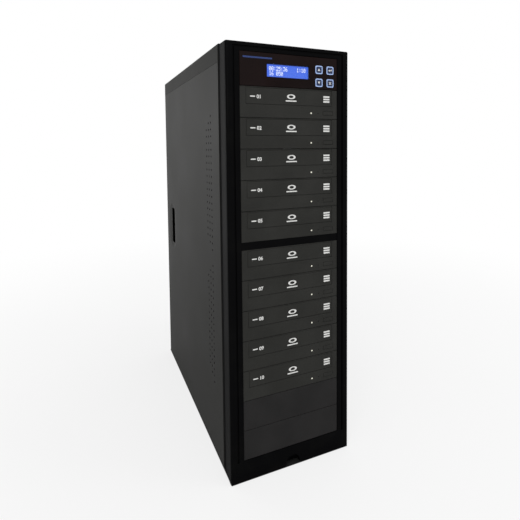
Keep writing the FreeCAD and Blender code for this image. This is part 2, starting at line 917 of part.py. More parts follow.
# Finger notch under the middle of the skirt
def notch_backing():
    r = notch_width / 2 + bezel_wall
    y1 = front_y + notch_depth + bezel_wall
    z = skirt_clear + notch_straight
    y0 = front_y + bezel_face - overrun
    block = box(-r, r, y0, y1, skirt_clear, z)
    arch = bar_y(r, y0, y1, 0, z).common(box(-r, r, y0, y1, z, z + r))
    return [block, arch]


def notch_cuts():
    r = notch_width / 2
    y1 = front_y + notch_depth
    z = skirt_clear + notch_straight
    return [box(-r, r, front_y - overrun, y1, 0, z), bar_y(r, front_y - overrun, y1, 0, z)]


def bezel_clips():
    clips = []
    inner = clip_inner()
    for z in clip_heights():
        for side in (-1, 1):
            z0 = z - clip_width / 2
            z1 = z + clip_width / 2
            x0, x1 = sorted((side * inner, side * (inner + clip_thick)))
            y1 = frame_back_y + slide_gap + clip_reach
            clips.append(box(x0, x1, front_y + bezel_face - overrun / 2, y1, z0, z1))
            x0, x1 = sorted((side * (inner + clip_thick), side * (inner + clip_thick + clip_hook)))
            clips.append(box(x0, x1, frame_back_y + slide_gap, y1, z0, z1))
    return clips


# Bay blanks
def bay_blank(bottom):
    half = face_half
    z0 = bottom + (bay_pitch - face_height) / 2
    z1 = z0 + face_height
    plate = box(-half, half, face_y, face_y + blank_plate, z0, z1)
    plate = plate.makeFillet(face_edge, edges_in_plane_y(plate, face_y))
    i = blank_rim_inset
    y1 = face_y + blank_plate + blank_rim_depth
    rim = box(-half + i, half - i, face_y + blank_plate - face_edge, y1, z0 + i, z1 - i)
    i += blank_rim
    hollow = box(-half + i, half - i, face_y + blank_plate, y1 + overrun, z0 + i, z1 - i)
    blank = clean(plate.fuse(rim.cut(hollow)))
    return blank.cut(finger_relief(z0, y1))


# Slits that free the two snap arms at the ends of a blank
def finger_relief(z0, y1):
    cuts = []
    for share in relief_shares:
        z = z0 + share * face_height
        y0 = face_y + blank_plate + blank_rim
        cuts.append(box(-opening_half, opening_half, y0, y1 + overrun, z - slide_gap, z + slide_gap))
    return cuts


def bay_blanks():
    return Part.makeCompound([bay_blank(bay_bottom + i * bay_pitch) for i in range(blank_bays)])


# Control panel
def button_places():
    dx = button_pitch_x / 2
    dz = button_pitch_z / 2
    left = button_centre_x - dx
    right = button_centre_x + dx
    high = button_centre_z + dz
    low = button_centre_z - dz
    return {"up": (left, high), "down": (left, low), "enter": (right, high), "escape": (right, low)}


def button_holes(y0, y1):
    reach = button_size / 2 + slide_gap
    holes = []
    for x, z in button_places().values():
        r = button_round + slide_gap
        holes.append(rounded_block(x - reach, x + reach, y0, y1, z - reach, z + reach, r))
    return holes


def lcd_hole(y0, y1, grow):
    wide = lcd_window_half + grow
    tall = lcd_window_tall / 2 + grow
    return box(lcd_centre_x - wide, lcd_centre_x + wide, y0, y1, lcd_centre_z - tall, lcd_centre_z + tall)


def control_fascia():
    g = fascia_edge_gap
    half = face_half
    y0 = front_y + fascia_recess
    plate = box(-half, half, y0, plate_front_y, drives_top + g, panel_top - g)
    plate = plate.makeChamfer(button_edge, edges_in_plane_y(plate, y0))
    cuts = [lcd_hole(y0 - overrun, plate_front_y + overrun, 0)]
    return plate.cut(cuts + button_holes(y0 - overrun, plate_front_y + overrun))


def control_housing():
    g = fascia_edge_gap
    half = face_half
    plate = box(-half, half, plate_front_y, plate_back_y, drives_top + g, panel_top - g)
    outer = drive_half - fit_gap
    inner = outer - housing_wall
    z1 = housing_bottom + housing_height
    tray = box(-outer, outer, plate_back_y, drive_back_y, housing_bottom, z1)
    tray = tray.cut(box(-inner, inner, plate_back_y, drive_back_y + overrun, housing_floor, z1 + overrun))
    body = clean(plate.fuse(tray))
    ya = plate_front_y - overrun
    yb = plate_back_y + overrun
    cuts = [lcd_hole(ya, yb, 0)] + button_holes(ya, yb)
    for y in drive_screw_ys:
        z = housing_bottom + drive_screw_rise
        cuts.append(bar_x(screw_shank_radius + screw_hole_gap, -outer - overrun, outer + overrun, y, z))
    return body.cut(cuts)


def lcd_glass():
    g = lcd_glass_gap
    y0 = front_y + fascia_recess + lcd_glass_recess
    wide = lcd_window_half - g
    tall = lcd_window_tall / 2 - g
    x, z = lcd_centre_x, lcd_centre_z
    pane = box(x - wide, x + wide, y0, plate_back_y + fit_gap, z - tall, z + tall)
    return pane.makeChamfer(g, edges_in_plane_y(pane, y0))


def lcd_module():
    x, z = lcd_centre_x, lcd_centre_z
    y0 = plate_back_y + fit_gap
    y1 = y0 + lcd_frame_deep
    wide = lcd_window_half + lcd_frame_margin
    tall = lcd_frame_tall / 2
    frame = box(x - wide, x + wide, y0, y1, z - tall, z + tall)
    frame = frame.makeChamfer(button_edge, edges_in_plane_y(frame, y0))
    wide = lcd_window_half + lcd_board_margin
    tall = lcd_board_tall / 2
    board = box(x - wide, x + wide, y1, y1 + board_thick, z - tall, z + tall)
    return clean(frame.fuse(board))


def control_board():
    half = drive_half - fit_gap - housing_wall - control_board_edge
    y0 = control_board_y
    z0 = housing_floor + control_board_margin
    z1 = housing_bottom + housing_height - control_board_margin
    board = box(-half, half, y0, y0 + board_thick, z0, z1)
    feet = box(-half, half, y0, y0 + board_thick, housing_floor, z0 + overrun)
    middle = box(-half / 2, half / 2, y0 - overrun, y0 + board_thick + overrun, housing_floor - overrun, z0)
    pieces = [feet.cut(middle)]
    for x, z in button_places().values():
        b = switch_body / 2
        pieces.append(box(x - b, x + b, y0 - switch_height, y0, z - b, z + b))
    y1 = plate_back_y + fit_gap + lcd_frame_deep + board_thick
    dx = lcd_window_half + lcd_board_margin - post_inset_x
    dz = lcd_board_tall / 2 - post_inset_z
    for sx in (-1, 1):
        for sz in (-1, 1):
            pieces.append(bar_y(post_radius, y1, y0, lcd_centre_x + sx * dx, lcd_centre_z + sz * dz))
    ya = y0 + board_thick
    w = header_wide / 2
    z2 = housing_floor + header_rise
    pieces.append(box(-w, w, ya, ya + header_deep, z2 - header_tall / 2, z2 + header_tall / 2))
    return clean(board.fuse(pieces))


def control_button(name):
    x, z = button_places()[name]
    b = button_size / 2
    back = plate_back_y + slide_gap
    y1 = back + button_flange_thick
    cap = rounded_block(x - b, x + b, button_front_y, y1, z - b, z + b, button_round, button_edge)
    f = b + button_flange
    flange = rounded_block(x - f, x + f, back, y1, z - b, z + b, button_round)
    end = control_board_y - switch_height - button_travel - fit_gap
    stem = bar_y(button_stem_radius, y1 - overrun / 2, end, x, z)
    return clean(cap.fuse([flange, stem]))


# Controller board with one data port for each drive
def port_xs():
    return [data_x + i * data_port_pitch for i in range(upper_bays + lower_bays)]


def controller_board():
    half = main_board_half
    z1 = main_board_top
    board = box(-half, half, main_board_front, main_board_rear, main_board_bottom, z1)
    pieces = []
    y1 = main_board_rear + port_overhang
    for x in port_xs() + [board_power_x]:
        w = port_wide / 2 if x != board_power_x else (half - board_power_x)
        pieces.append(box(x - w, x + w, y1 - port_deep, y1, z1, z1 + port_tall))
    w = header_wide / 2
    pieces.append(box(-w, w, main_board_front, main_board_front + header_deep, z1, z1 + header_tall))
    y2 = main_board_rear - chip_rear_gap
    c = chip_size / 2
    pieces.append(box(-c, c, y2 - chip_size, y2, z1, z1 + chip_height))
    fins = int(chip_size // sink_fin_pitch)
    for i in range(fins):
        x = -c + (i + 1 / 2) * chip_size / fins
        pieces.append(box(x - sink_fin / 2, x + sink_fin / 2, y2 - chip_size, y2, z1, z1 + sink_height))
    for side in (-1, 1):
        x = side * (c + memory_size)
        m = memory_size / 2
        pieces.append(box(x - m, x + m, y2 - chip_size, y2 - m, z1, z1 + memory_height))
    return clean(board.fuse(pieces))


def board_standoffs():
    posts = []
    for x in (standoff_inset - main_board_half, main_board_half - standoff_inset):
        for y in (main_board_front + standoff_inset, main_board_rear - standoff_inset):
            posts.append(bar_z(standoff_radius, housing_floor, main_board_bottom, x, y))
    return Part.makeCompound(posts)


# Optical drives: each function makes one drive's piece with the drive's bottom edge at the given height
def door_span(bottom):
    z1 = bottom + face_offset() + face_height - door_from_top
    return z1 - door_height, z1


def face_offset():
    return (bay_pitch - face_height) / 2


def drive_casing(bottom):
    z0 = bottom + (bay_pitch - drive_height) / 2
    z1 = z0 + drive_height
    shell = box(-drive_half, drive_half, face_back_y, drive_back_y, z0, z1)
    s = drive_skin
    inner = drive_half - s
    shell = shell.cut(box(-inner, inner, face_back_y - overrun, drive_back_y - s, z0 + s, z1 - s))
    runner_top = door_span(bottom)[0] + tray_above_door_bottom - slide_gap
    pieces = []
    for side in (-1, 1):
        x0, x1 = sorted((side * (tray_half - runner_wide / 2), side * (inner + s / 2)))
        pieces.append(box(x0, x1, face_back_y, drive_back_y - s, runner_top - runner_thick, runner_top))
    shell = clean(shell.fuse(pieces))
    holes = []
    for y in drive_screw_ys:
        z = bottom + drive_screw_rise
        reach = drive_half + overrun
        holes.append(bar_x(screw_shank_radius + screw_hole_gap, -reach, reach, y, z))
    return shell.cut(holes)


def drive_bezel(bottom):
    half = face_half
    z0 = bottom + face_offset()
    plate = box(-half, half, face_y, face_back_y, z0, z0 + face_height)
    plate = plate.makeFillet(face_edge, edges_in_plane_y(plate, face_y))
    ya = face_y - overrun
    yb = face_back_y + overrun
    low, high = door_span(bottom)
    g = door_gap
    door = door_half + g
    cuts = [box(-door, door, ya, face_y + door_thick + g, low - g, high + g)]
    bed = tray_half + g
    bed_low = low + tray_above_door_bottom
    cuts.append(box(-bed, bed, ya, yb, bed_low - g, bed_low + tray_plate + tray_rim_height + g))
    wide = eject_width / 2 + eject_gap
    tall = eject_height / 2 + eject_gap
    z = z0 + eject_rise
    cuts.append(box(eject_x - wide, eject_x + wide, ya, yb, z - tall, z + tall))
    cuts.append(bar_y(led_radius + led_gap, ya, yb, led_x, z0 + led_rise))
    cuts.append(bar_y(pin_hole_radius, ya, yb, pin_hole_x, z0 + led_rise))
    return plate.cut(cuts)


def drive_led(bottom):
    z = bottom + face_offset() + led_rise
    lens = bar_y(led_radius, face_y, face_back_y, led_x, z)
    return lens.makeChamfer(led_gap, edges_in_plane_y(lens, face_y))


def disc_tray(bottom):
    low, high = door_span(bottom)
    half = door_half
    door = box(-half, half, face_y, face_y + door_thick, low, high)
    door = door.makeFillet(door_edge, edges_in_plane_y(door, face_y))
    z0 = low + tray_above_door_bottom
    z1 = z0 + tray_plate
    y0 = face_y + door_thick
    y1 = y0 + tray_length
    w = tray_half
    bed = box(-w, w, y0 - face_edge, y1, z0, z1)
    pieces = [bed]
    for side in (-1, 1):
        x0, x1 = sorted((side * (w - tray_rim), side * w))
        pieces.append(box(x0, x1, y0 - face_edge, y1, z0, z1 + tray_rim_height))
    tray = clean(door.fuse(pieces))
    centre = y0 + disc_from_door
    cuts = [bar_z(disc_radius, z1 - disc_depth, z1 + tray_rim_height + overrun, 0, centre)]
    cuts.append(bar_z(small_disc_radius, z1 - disc_depth - small_disc_depth, z1 + overrun, 0, centre))
    s = tray_slot_wide / 2
    cuts.append(box(-s, s, centre, centre + tray_slot_length, z0 - overrun, z1 + overrun))
    cuts.append(bar_z(s, z0 - overrun, z1 + overrun, 0, centre))
    return tray.cut(cuts)


def eject_button(bottom):
    z = bottom + face_offset() + eject_rise
    wide = eject_width / 2
    tall = eject_height / 2
    y0 = face_y - eject_proud
    y1 = face_back_y + eject_gap
    cap = box(eject_x - wide, eject_x + wide, y0, y1, z - tall, z + tall)
    cap = cap.makeFillet(eject_edge, edges_in_plane_y(cap, y0))
    wide += eject_flange
    tall += eject_flange
    flange = box(eject_x - wide, eject_x + wide, y1, y1 + eject_flange_thick, z - tall, z + tall)
    return clean(cap.fuse(flange))


# Spindle motor and laser sled under the tray, on their own plate
def drive_mechanism(bottom):
    z0 = bottom + (bay_pitch - drive_height) / 2 + drive_skin
    hub_y = face_y + door_thick + disc_from_door
    y0 = face_back_y + mech_front_gap
    z1 = z0 + mech_rise
    top = z1 + mech_plate
    half = mech_wide / 2
    plate = box(-half, half, y0, y0 + mech_long, z1, top)
    pieces = []
    for x in (mech_post_inset - half, half - mech_post_inset):
        for y in (y0 + mech_post_inset, y0 + mech_long - mech_post_inset):
            pieces.append(bar_z(mech_post_radius, z0, z1, x, y))
    pieces.append(bar_z(motor_radius, top, top + motor_height, 0, hub_y))
    pieces.append(bar_z(hub_radius, top, top + motor_height + hub_height, 0, hub_y))
    y = hub_y + pickup_from_hub
    w = pickup_wide / 2
    d = pickup_long / 2
    pieces.append(box(-w, w, y - d, y + d, top, top + pickup_height))
    pieces.append(bar_z(lens_radius, top, top + pickup_height + lens_height, 0, y))
    return clean(plate.fuse(pieces))


def each_drive(make):
    return Part.makeCompound([make(bottom) for bottom in drive_bottoms()])


# Fasteners: a pan head screw whose head sits at the given point and whose shank runs along the given way
def screw(point, way, grip):
    head = Part.makeCylinder(screw_head_radius, screw_head_height, point, way * -1)
    outer = [e for e in head.Edges if (e.CenterOfMass - point).dot(way) < -screw_head_height / 2]
    round_edges = [e for e in outer if len(e.Vertexes) == 1]
    head = head.makeFillet(screw_head_height / 2, round_edges)
    shank = Part.makeCylinder(screw_shank_radius, grip, point, way)
    body = clean(head.fuse(shank))
    half = screw_cross_wide / 2
    reach = screw_cross_long / 2
    start = point - way * screw_head_height
    cross = []
    for a, b in ((half, reach), (reach, half)):
        if abs(way.x) > abs(way.y):
            x0, x1 = sorted((start.x - way.x * overrun, start.x + way.x * screw_cross_deep))
            cross.append(box(x0, x1, point.y - a, point.y + a, point.z - b, point.z + b))
        else:
            y0, y1 = sorted((start.y - way.y * overrun, start.y + way.y * screw_cross_deep))
            cross.append(box(point.x - a, point.x + a, y0, y1, point.z - b, point.z + b))
    return body.cut(cross)


def drive_screws():
    screws = []
    for bottom in drive_bottoms() + [housing_bottom]:
        for y in drive_screw_ys:
            for side in (-1, 1):
                point = Vector(side * cage_outer, y, bottom + drive_screw_rise)
                screws.append(screw(point, Vector(-side, 0, 0), screw_grip))
    return Part.makeCompound(screws)


def fan_screw_places():
    return [(dx, h + dz) for h in fan_heights for dx, dz in four_corners(fan_screw_pitch / 2)]


def psu_screw_places():
    x = psu_half - psu_screw_inset
    high = psu_top - psu_screw_inset
    low = floor_top + psu_screw_inset
    return [(sx * x, z) for sx in (-1, 1) for z in (low, high)]


def case_screws():
    screws = []
    for x, z in fan_screw_places():
        screws.append(screw(Vector(x, plate_rear_y + guard_eye_thick, z), Vector(0, -1, 0), fan_screw_grip))
    for x, z in psu_screw_places():
        screws.append(screw(Vector(x, plate_rear_y, z), Vector(0, -1, 0), screw_grip))
    return Part.makeCompound(screws)


# Case fans
def fan_frame(height):
    h = fan_size / 2
    y1 = plate_inner_y
    y0 = y1 - fan_deep
    frame = rounded_block(-h, h, y0, y1, height - h, height + h, fan_corner)
    frame = frame.cut(bar_y(fan_bore, y0 - overrun, y1 + overrun, 0, height))
    s = fan_strut_wide / 2
    ya = y1 - fan_strut_deep
    reach = fan_bore + overrun
    pieces = [box(-reach, reach, ya, y1, height - s, height + s)]
    pieces.append(box(-s, s, ya, y1, height - reach, height + reach))
    pieces.append(bar_y(fan_boss_radius, ya, y1, 0, height))
    pieces.append(bar_y(fan_pin_radius, ya - fan_pin_length, ya, 0, height))
    frame = clean(frame.fuse(pieces))
    holes = []
    for dx, dz in four_corners(fan_screw_pitch / 2):
        r = screw_shank_radius + screw_hole_gap
        holes.append(bar_y(r, y0 - overrun, y1 + overrun, dx, height + dz))
    return frame.cut(holes)


def rotor(x, z, y0, y1, hub, tip, chord, pin, pin_length):
    core = bar_y(hub, y0, y1, x, z)
    front = edges_in_plane_y(core, y0)
    core = core.makeFillet(blade_sheet, front)
    reach = (y1 - y0) / 2
    middle = (y0 + y1) / 2
    blades = []
    for i in range(fan_blades):
        half = blade_sheet / 2
        blade = box(hub - blade_sheet, tip + overrun, -chord / 2, chord / 2, -half, half)
        blade.rotate(Vector(0, 0, 0), Vector(1, 0, 0), blade_angle)
        blade.rotate(Vector(0, 0, 0), Vector(0, 1, 0), 360 * i / fan_blades)
        blade.translate(Vector(x, middle, z))
        blades.append(blade)
    disc = bar_y(tip, middle - reach + rotor_gap, middle + reach - rotor_gap, x, z)
    wheel = clean(core.fuse([b.common(disc) for b in blades]))
    return wheel.cut(bar_y(pin + bore_gap, y1 - pin_length - rotor_gap, y1 + overrun, x, z))


def fan_rotor(height):
    y1 = plate_inner_y - fan_strut_deep - rotor_gap
    tip = fan_bore - rotor_tip_gap
    y0 = y1 - rotor_deep
    return rotor(0, height, y0, y1, rotor_hub_radius, tip, blade_chord, fan_pin_radius, fan_pin_length)


def four_corners(d):
    return [(sx * d, sz * d) for sx in (-1, 1) for sz in (-1, 1)]


def fan_guard(height):
    d = fan_screw_pitch / 2
    r = guard_wire
    y = plate_rear_y + guard_eye_thick
    centre = Vector(0, y + guard_ring_lift, height)
    wires = [Part.makeTorus(ring, r, centre, Vector(0, 1, 0)) for ring in guard_ring_radii]
    eyes = []
    holes = []
    inner_share = guard_ring_radii[0] / 2 / d
    for dx, dz in four_corners(d):
        eye = Vector(dx, y, height + dz)
        start = Vector(inner_share * dx, y, height + inner_share * dz)
        wires.append(Part.makeCylinder(r, (eye - start).Length, start, eye - start))
        eyes.append(bar_y(guard_eye_radius, plate_rear_y, y, dx, height + dz))
        holes.append(bar_y(screw_head_radius + slide_gap, y, y + screw_head_height, dx, height + dz))
        shank = screw_shank_radius + screw_hole_gap
        holes.append(bar_y(shank, plate_rear_y - overrun, y + overrun, dx, height + dz))
    return wires[0].fuse(wires[1:]).fuse(eyes).cut(holes)


def fan_guards():
    return Part.makeCompound([fan_guard(height) for height in fan_heights])


# Power supply
def power_supply():
    half = psu_half
    t = psu_wall
    y0 = psu_front_y
    y1 = plate_inner_y
    shell = box(-half, half, y0, y1, floor_top, psu_top)
    shell = shell.cut(box(t - half, half - t, y0 + t, y1 - t, floor_top + t, psu_top - t))
    bar_y0 = y1 - t - psu_fan_gap - psu_fan_deep - rotor_gap - psu_bar_thick
    bar_y1 = bar_y0 + psu_bar_thick
    w = psu_bar_wide / 2
    pieces = [box(psu_fan_x - w, psu_fan_x + w, bar_y0, bar_y1, floor_top + t / 2, psu_top - t / 2)]
    pieces.append(bar_y(psu_pin_radius, bar_y1, bar_y1 + psu_pin_length, psu_fan_x, psu_middle))
    shell = clean(shell.fuse(pieces))
    ya = y1 - t - overrun
    yb = y1 + overrun
    cuts = []
    steps = int(psu_fan_radius // psu_grille_step)
    for i in range(-steps, steps + 1):
        dz = i * psu_grille_step
        reach = math.sqrt(psu_fan_radius ** 2 - dz ** 2)
        if reach > psu_grille_slot:
            cuts.append(flat_slot_y(ya, yb, psu_fan_x, psu_middle + dz, 2 * reach, psu_grille_slot))
    wide = inlet_body_wide / 2 + fit_gap
    tall = inlet_body_tall / 2 + fit_gap
    cuts.append(box(inlet_x - wide, inlet_x + wide, ya, yb, psu_middle - tall, psu_middle + tall))
    for i in range(psu_vents):
        x = (i - (psu_vents - 1) / 2) * psu_vent_pitch
        if abs(x - power_x) > psu_vent_pitch and abs(x - board_power_x) > psu_vent_pitch:
            v = psu_vent_wide / 2
            z0 = psu_middle - psu_vent_tall / 2
            cuts.append(box(x - v, x + v, y0 - overrun, y0 + t + overrun, z0, z0 + psu_vent_tall))
    for x, z in psu_screw_places():
        cuts.append(bar_y(screw_shank_radius + screw_hole_gap, ya, yb, x, z))
    return shell.cut(cuts)


def psu_fan_rotor():
    y1 = plate_inner_y - psu_wall - psu_fan_gap
    y0 = y1 - psu_fan_deep
    wheel = rotor(psu_fan_x, psu_middle, -y1, -y0, psu_fan_hub, psu_fan_radius, psu_fan_deep,
                  psu_pin_radius, psu_pin_length)
    return wheel.mirror(Vector(0, 0, 0), Vector(0, 1, 0))


def rocker_centre():
    top = psu_middle + inlet_plate_tall / 2
    z = top - rocker_from_top - rocker_long / 2 - rocker_well_gap
    return plate_inner_y + inlet_plate_thick - rocker_pivot_deep, z


def socket_centre_z():
    return psu_middle - inlet_plate_tall / 2 + socket_from_bottom + socket_tall / 2


def power_inlet():
    y0 = plate_inner_y
    y1 = y0 + inlet_plate_thick
    w = inlet_plate_wide / 2
    h = inlet_plate_tall / 2
    plate = box(inlet_x - w, inlet_x + w, y0, y1, psu_middle - h, psu_middle + h)
    flipped = edges_in_plane_y(plate, y1)
    plate = plate.makeChamfer(button_edge, flipped)
    w = inlet_body_wide / 2
    h = inlet_body_tall / 2
    body = box(inlet_x - w, inlet_x + w, y1 - inlet_body_deep, y0 + overrun, psu_middle - h, psu_middle + h)
    body = clean(plate.fuse(body))
    sw = socket_wide / 2
    sh = socket_tall / 2
    z = socket_centre_z()
    c = socket_cut
    outline = [(inlet_x - sw, z - sh), (inlet_x + sw, z - sh), (inlet_x + sw, z + sh - c)]
    outline += [(inlet_x + sw - c, z + sh), (inlet_x - sw + c, z + sh), (inlet_x - sw, z + sh - c)]
    cuts = [prism_y(outline, y1 - socket_deep, y1 + overrun)]
    pivot_y, pivot_z = rocker_centre()
    rw = rocker_wide / 2 + rocker_side_gap
    rl = rocker_long / 2 + rocker_well_gap
    well_y = y1 - rocker_well_deep
    cuts.append(box(inlet_x - rw, inlet_x + rw, well_y, y1 + overrun, pivot_z - rl, pivot_z + rl))
    reach = rocker_wide / 2 + rocker_pin_reach + rocker_side_gap
    cuts.append(bar_x(rocker_pin_radius + bore_gap, inlet_x - reach, inlet_x + reach, pivot_y, pivot_z))
    body = body.cut(cuts)
    blades = []
    base = y1 - socket_deep
    for dx, dz in ((-blade_pitch / 2, -blade_rise), (0, blade_rise), (blade_pitch / 2, -blade_rise)):
        x = inlet_x + dx
        a, b = blade_thick / 2, blade_wide / 2
        blades.append(box(x - a, x + a, base - overrun, base + blade_length, z + dz - b, z + dz + b))
    return clean(body.fuse(blades))


# Rocker cap on its pin, made level and then tipped to its rest side
def rocker_switch():
    pivot_y, pivot_z = rocker_centre()
    half = rocker_long / 2
    keel = rocker_keel_wide / 2
    top = pivot_y + rocker_rise
    waist = top - rocker_waist
    outline = [(waist, pivot_z), (top, pivot_z + half), (pivot_y - rocker_waist, pivot_z + half)]
    outline += [(pivot_y - rocker_keel, pivot_z + keel), (pivot_y - rocker_keel, pivot_z - keel)]
    outline += [(pivot_y - rocker_waist, pivot_z - half), (top, pivot_z - half)]
    w = rocker_wide / 2
    cap = prism_x(outline, inlet_x - w, inlet_x + w)
    cap = cap.makeFillet(button_edge, [e for e in edges_along(cap, "x") if e.BoundBox.YMin > pivot_y])
    reach = w + rocker_pin_reach
    cap = clean(cap.fuse(bar_x(rocker_pin_radius, inlet_x - reach, inlet_x + reach, pivot_y, pivot_z)))
    cap.rotate(Vector(inlet_x, pivot_y, pivot_z), Vector(1, 0, 0), rocker_rest_angle)
    return cap


# Cables inside the case
def data_cable(index):
    bottom = drive_bottoms()[index]
    z = bottom + plug_rise
    start_y = drive_back_y + fit_gap
    lane_y = drive_back_y + data_lane_start + index * data_lane_step
    port_x = port_xs()[index]
    port_z = main_board_top + port_tall / 2
    port_y = main_board_rear + port_overhang + fit_gap
    w = plug_wide / 2
    t = plug_tall / 2
    plug_a = box(data_x - w, data_x + w, start_y, start_y + plug_deep, z - t, z + t)
    plug_b = box(port_x - w, port_x + w, port_y, port_y + plug_deep, port_z - t, port_z + t)
    points = [Vector(data_x, start_y + plug_deep - overrun, z), Vector(data_x, lane_y, z)]
    points.append(Vector(data_x, lane_y, port_z - data_turn_drop))
    if index == 0:
        points[-1] = Vector(data_x, lane_y, port_z)
    else:
        points.append(Vector(port_x, lane_y, port_z))
    points.append(Vector(port_x, port_y + plug_deep - overrun, port_z))
    return clean(tube(points, data_radius, data_bend).fuse([plug_a, plug_b]))


# Flat ribbon from the key board's header, over and down to the controller's header
def key_ribbon():
    y0 = control_board_y + board_thick + header_deep
    y1 = main_board_front + header_deep / 2
    z0 = main_board_top + header_tall
    z1 = housing_floor + header_rise
    t = ribbon_thick / 2
    outline = [(y0, z1 + t), (y1 + t, z1 + t), (y1 + t, z0), (y1 - t, z0), (y1 - t, z1 - t), (y0, z1 - t)]
    return prism_x(outline, -ribbon_wide / 2, ribbon_wide / 2)


def data_cables():
    return Part.makeCompound([data_cable(i) for i in range(upper_bays + lower_bays)] + [key_ribbon()])


def power_plug(bottom):
    z = bottom + plug_rise
    y0 = drive_back_y + fit_gap
    w = power_plug_wide / 2
    t = power_plug_tall / 2
    return box(power_x - w, power_x + w, y0, y0 + plug_deep, z - t, z + t)


def power_cables():
    trunk_y = drive_back_y + power_trunk_back
    lane_y = drive_back_y + power_lane_back
    bottoms = drive_bottoms()
    start_y = psu_front_y - fit_gap
    low_z = floor_top + power_low_rise
    high_z = floor_top + power_high_rise
    low_end = bottoms[upper_bays] + plug_rise + power_tail
    points = [Vector(power_x, start_y, low_z), Vector(power_x, trunk_y, low_z)]
    points.append(Vector(power_x, trunk_y, low_end))
    lower = tube(points, power_radius, power_bend).fuse([power_plug(b) for b in bottoms[upper_bays:]])
    join = lower_top
    high_end = bottoms[0] + plug_rise + power_tail
    points = [Vector(power_x, start_y, high_z), Vector(power_x, lane_y, high_z)]
    points.append(Vector(power_x, lane_y, join - power_cross))
    points += [Vector(power_x, trunk_y, join + power_cross / 2), Vector(power_x, trunk_y, high_end)]
    upper = tube(points, power_radius, power_bend).fuse([power_plug(b) for b in bottoms[:upper_bays]])
    port_z = main_board_top + port_tall / 2
    port_y = main_board_rear + port_overhang + fit_gap
    lane = drive_back_y + board_power_lane
    points = [Vector(board_power_x, start_y, high_z), Vector(board_power_x, lane, high_z)]
    points += [Vector(board_power_x, lane, port_z), Vector(board_power_x, port_y, port_z)]
    board_lead = tube(points, power_radius, power_bend)
    leads = [clean(lower), clean(upper), board_lead]
    for i, height in enumerate(fan_heights):
        leads.append(fan_lead(i, height))
    return Part.makeCompound(leads)


def fan_lead(index, height):
    y0 = plate_inner_y - fan_deep - fit_gap
    y1 = y0 - fan_lead_forward
    side = fan_lead_x - fan_lead_side - (len(fan_heights) - 1 - index) * fan_lead_step
    z0 = height - fan_size / 2 + fan_corner
    points = [Vector(fan_lead_x, y0, z0), Vector(fan_lead_x, y1, z0), Vector(side, y1, z0 - fan_lead_drop)]
    points.append(Vector(side, y1, psu_top + fit_gap))
    return tube(points, fan_lead_radius, fan_lead_bend)


def export(name, shape):
    count = len(shape.Solids)
    if not shape.isValid():
        print("not valid:", name)
    shape.exportStep("parts/" + name + ".step")
    b = shape.BoundBox
    sizes = (b.XMin, b.XMax, b.YMin, b.YMax, b.ZMin, b.ZMax)
    print(name, count, " ".join("%.1f" % v for v in sizes))


os.makedirs("parts", exist_ok=True)

export("base_pan", base_pan())
export("front_frame", front_frame())
export("drive_cage_left", drive_cage(-1))
export("drive_cage_right", drive_cage(1))
export("top_cover", top_cover())
export("rear_panel", rear_panel())
export("rubber_feet", rubber_feet())
export("side_panel_left", side_panel(-1))
export("side_panel_right", side_panel(1))
export("thumb_screws_left", thumb_screws(-1))
export("thumb_screws_right", thumb_screws(1))
export("front_bezel", front_bezel())
export("bay_blanks", bay_blanks())
export("control_fascia", control_fascia())
export("control_housing", control_housing())
export("control_board", control_board())
export("lcd_module", lcd_module())
export("lcd_glass", lcd_glass())
for button in button_places():
    export("button_" + button, control_button(button))
export("controller_board", controller_board())
export("board_standoffs", board_standoffs())
export("drive_casings", each_drive(drive_casing))
export("drive_bezels", each_drive(drive_bezel))
export("drive_leds", each_drive(drive_led))
export("drive_mechanisms", each_drive(drive_mechanism))
for number, bottom in enumerate(drive_bottoms(), 1):
    export("disc_tray_%02d" % number, disc_tray(bottom))
    export("eject_button_%02d" % number, eject_button(bottom))
export("drive_screws", drive_screws())
export("case_screws", case_screws())
export("case_fan_frames", Part.makeCompound([fan_frame(h) for h in fan_heights]))
export("fan_rotor_upper", fan_rotor(fan_heights[0]))
export("fan_rotor_lower", fan_rotor(fan_heights[1]))
export("fan_guards", fan_guards())
export("power_supply", power_supply())
export("psu_fan_rotor", psu_fan_rotor())
export("power_inlet", power_inlet())
export("rocker_switch", rocker_switch())
export("data_cables", data_cables())
export("power_cables", power_cables())
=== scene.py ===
import json
import math

import bmesh
import bpy
from mathutils import Matrix, Vector


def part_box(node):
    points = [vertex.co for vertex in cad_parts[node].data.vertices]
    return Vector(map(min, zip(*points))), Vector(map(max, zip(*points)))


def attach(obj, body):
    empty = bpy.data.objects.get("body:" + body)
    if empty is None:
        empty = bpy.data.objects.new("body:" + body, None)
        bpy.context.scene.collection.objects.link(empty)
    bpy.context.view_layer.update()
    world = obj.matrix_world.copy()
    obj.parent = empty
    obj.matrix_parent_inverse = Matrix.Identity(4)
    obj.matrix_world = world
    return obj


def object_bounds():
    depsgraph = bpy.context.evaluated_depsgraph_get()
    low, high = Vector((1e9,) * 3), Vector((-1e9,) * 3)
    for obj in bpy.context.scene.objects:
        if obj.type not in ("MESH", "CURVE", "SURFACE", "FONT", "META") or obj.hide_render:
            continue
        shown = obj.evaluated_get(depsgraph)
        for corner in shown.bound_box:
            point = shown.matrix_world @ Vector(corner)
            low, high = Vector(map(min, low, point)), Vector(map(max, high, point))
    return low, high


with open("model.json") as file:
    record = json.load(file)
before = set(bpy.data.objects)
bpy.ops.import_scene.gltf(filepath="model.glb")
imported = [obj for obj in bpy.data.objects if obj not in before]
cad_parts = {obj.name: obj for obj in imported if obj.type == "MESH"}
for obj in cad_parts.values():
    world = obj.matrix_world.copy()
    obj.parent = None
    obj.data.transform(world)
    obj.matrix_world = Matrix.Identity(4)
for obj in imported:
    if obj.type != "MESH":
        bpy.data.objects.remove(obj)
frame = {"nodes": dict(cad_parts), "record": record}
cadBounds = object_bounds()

millimetre = 0.001


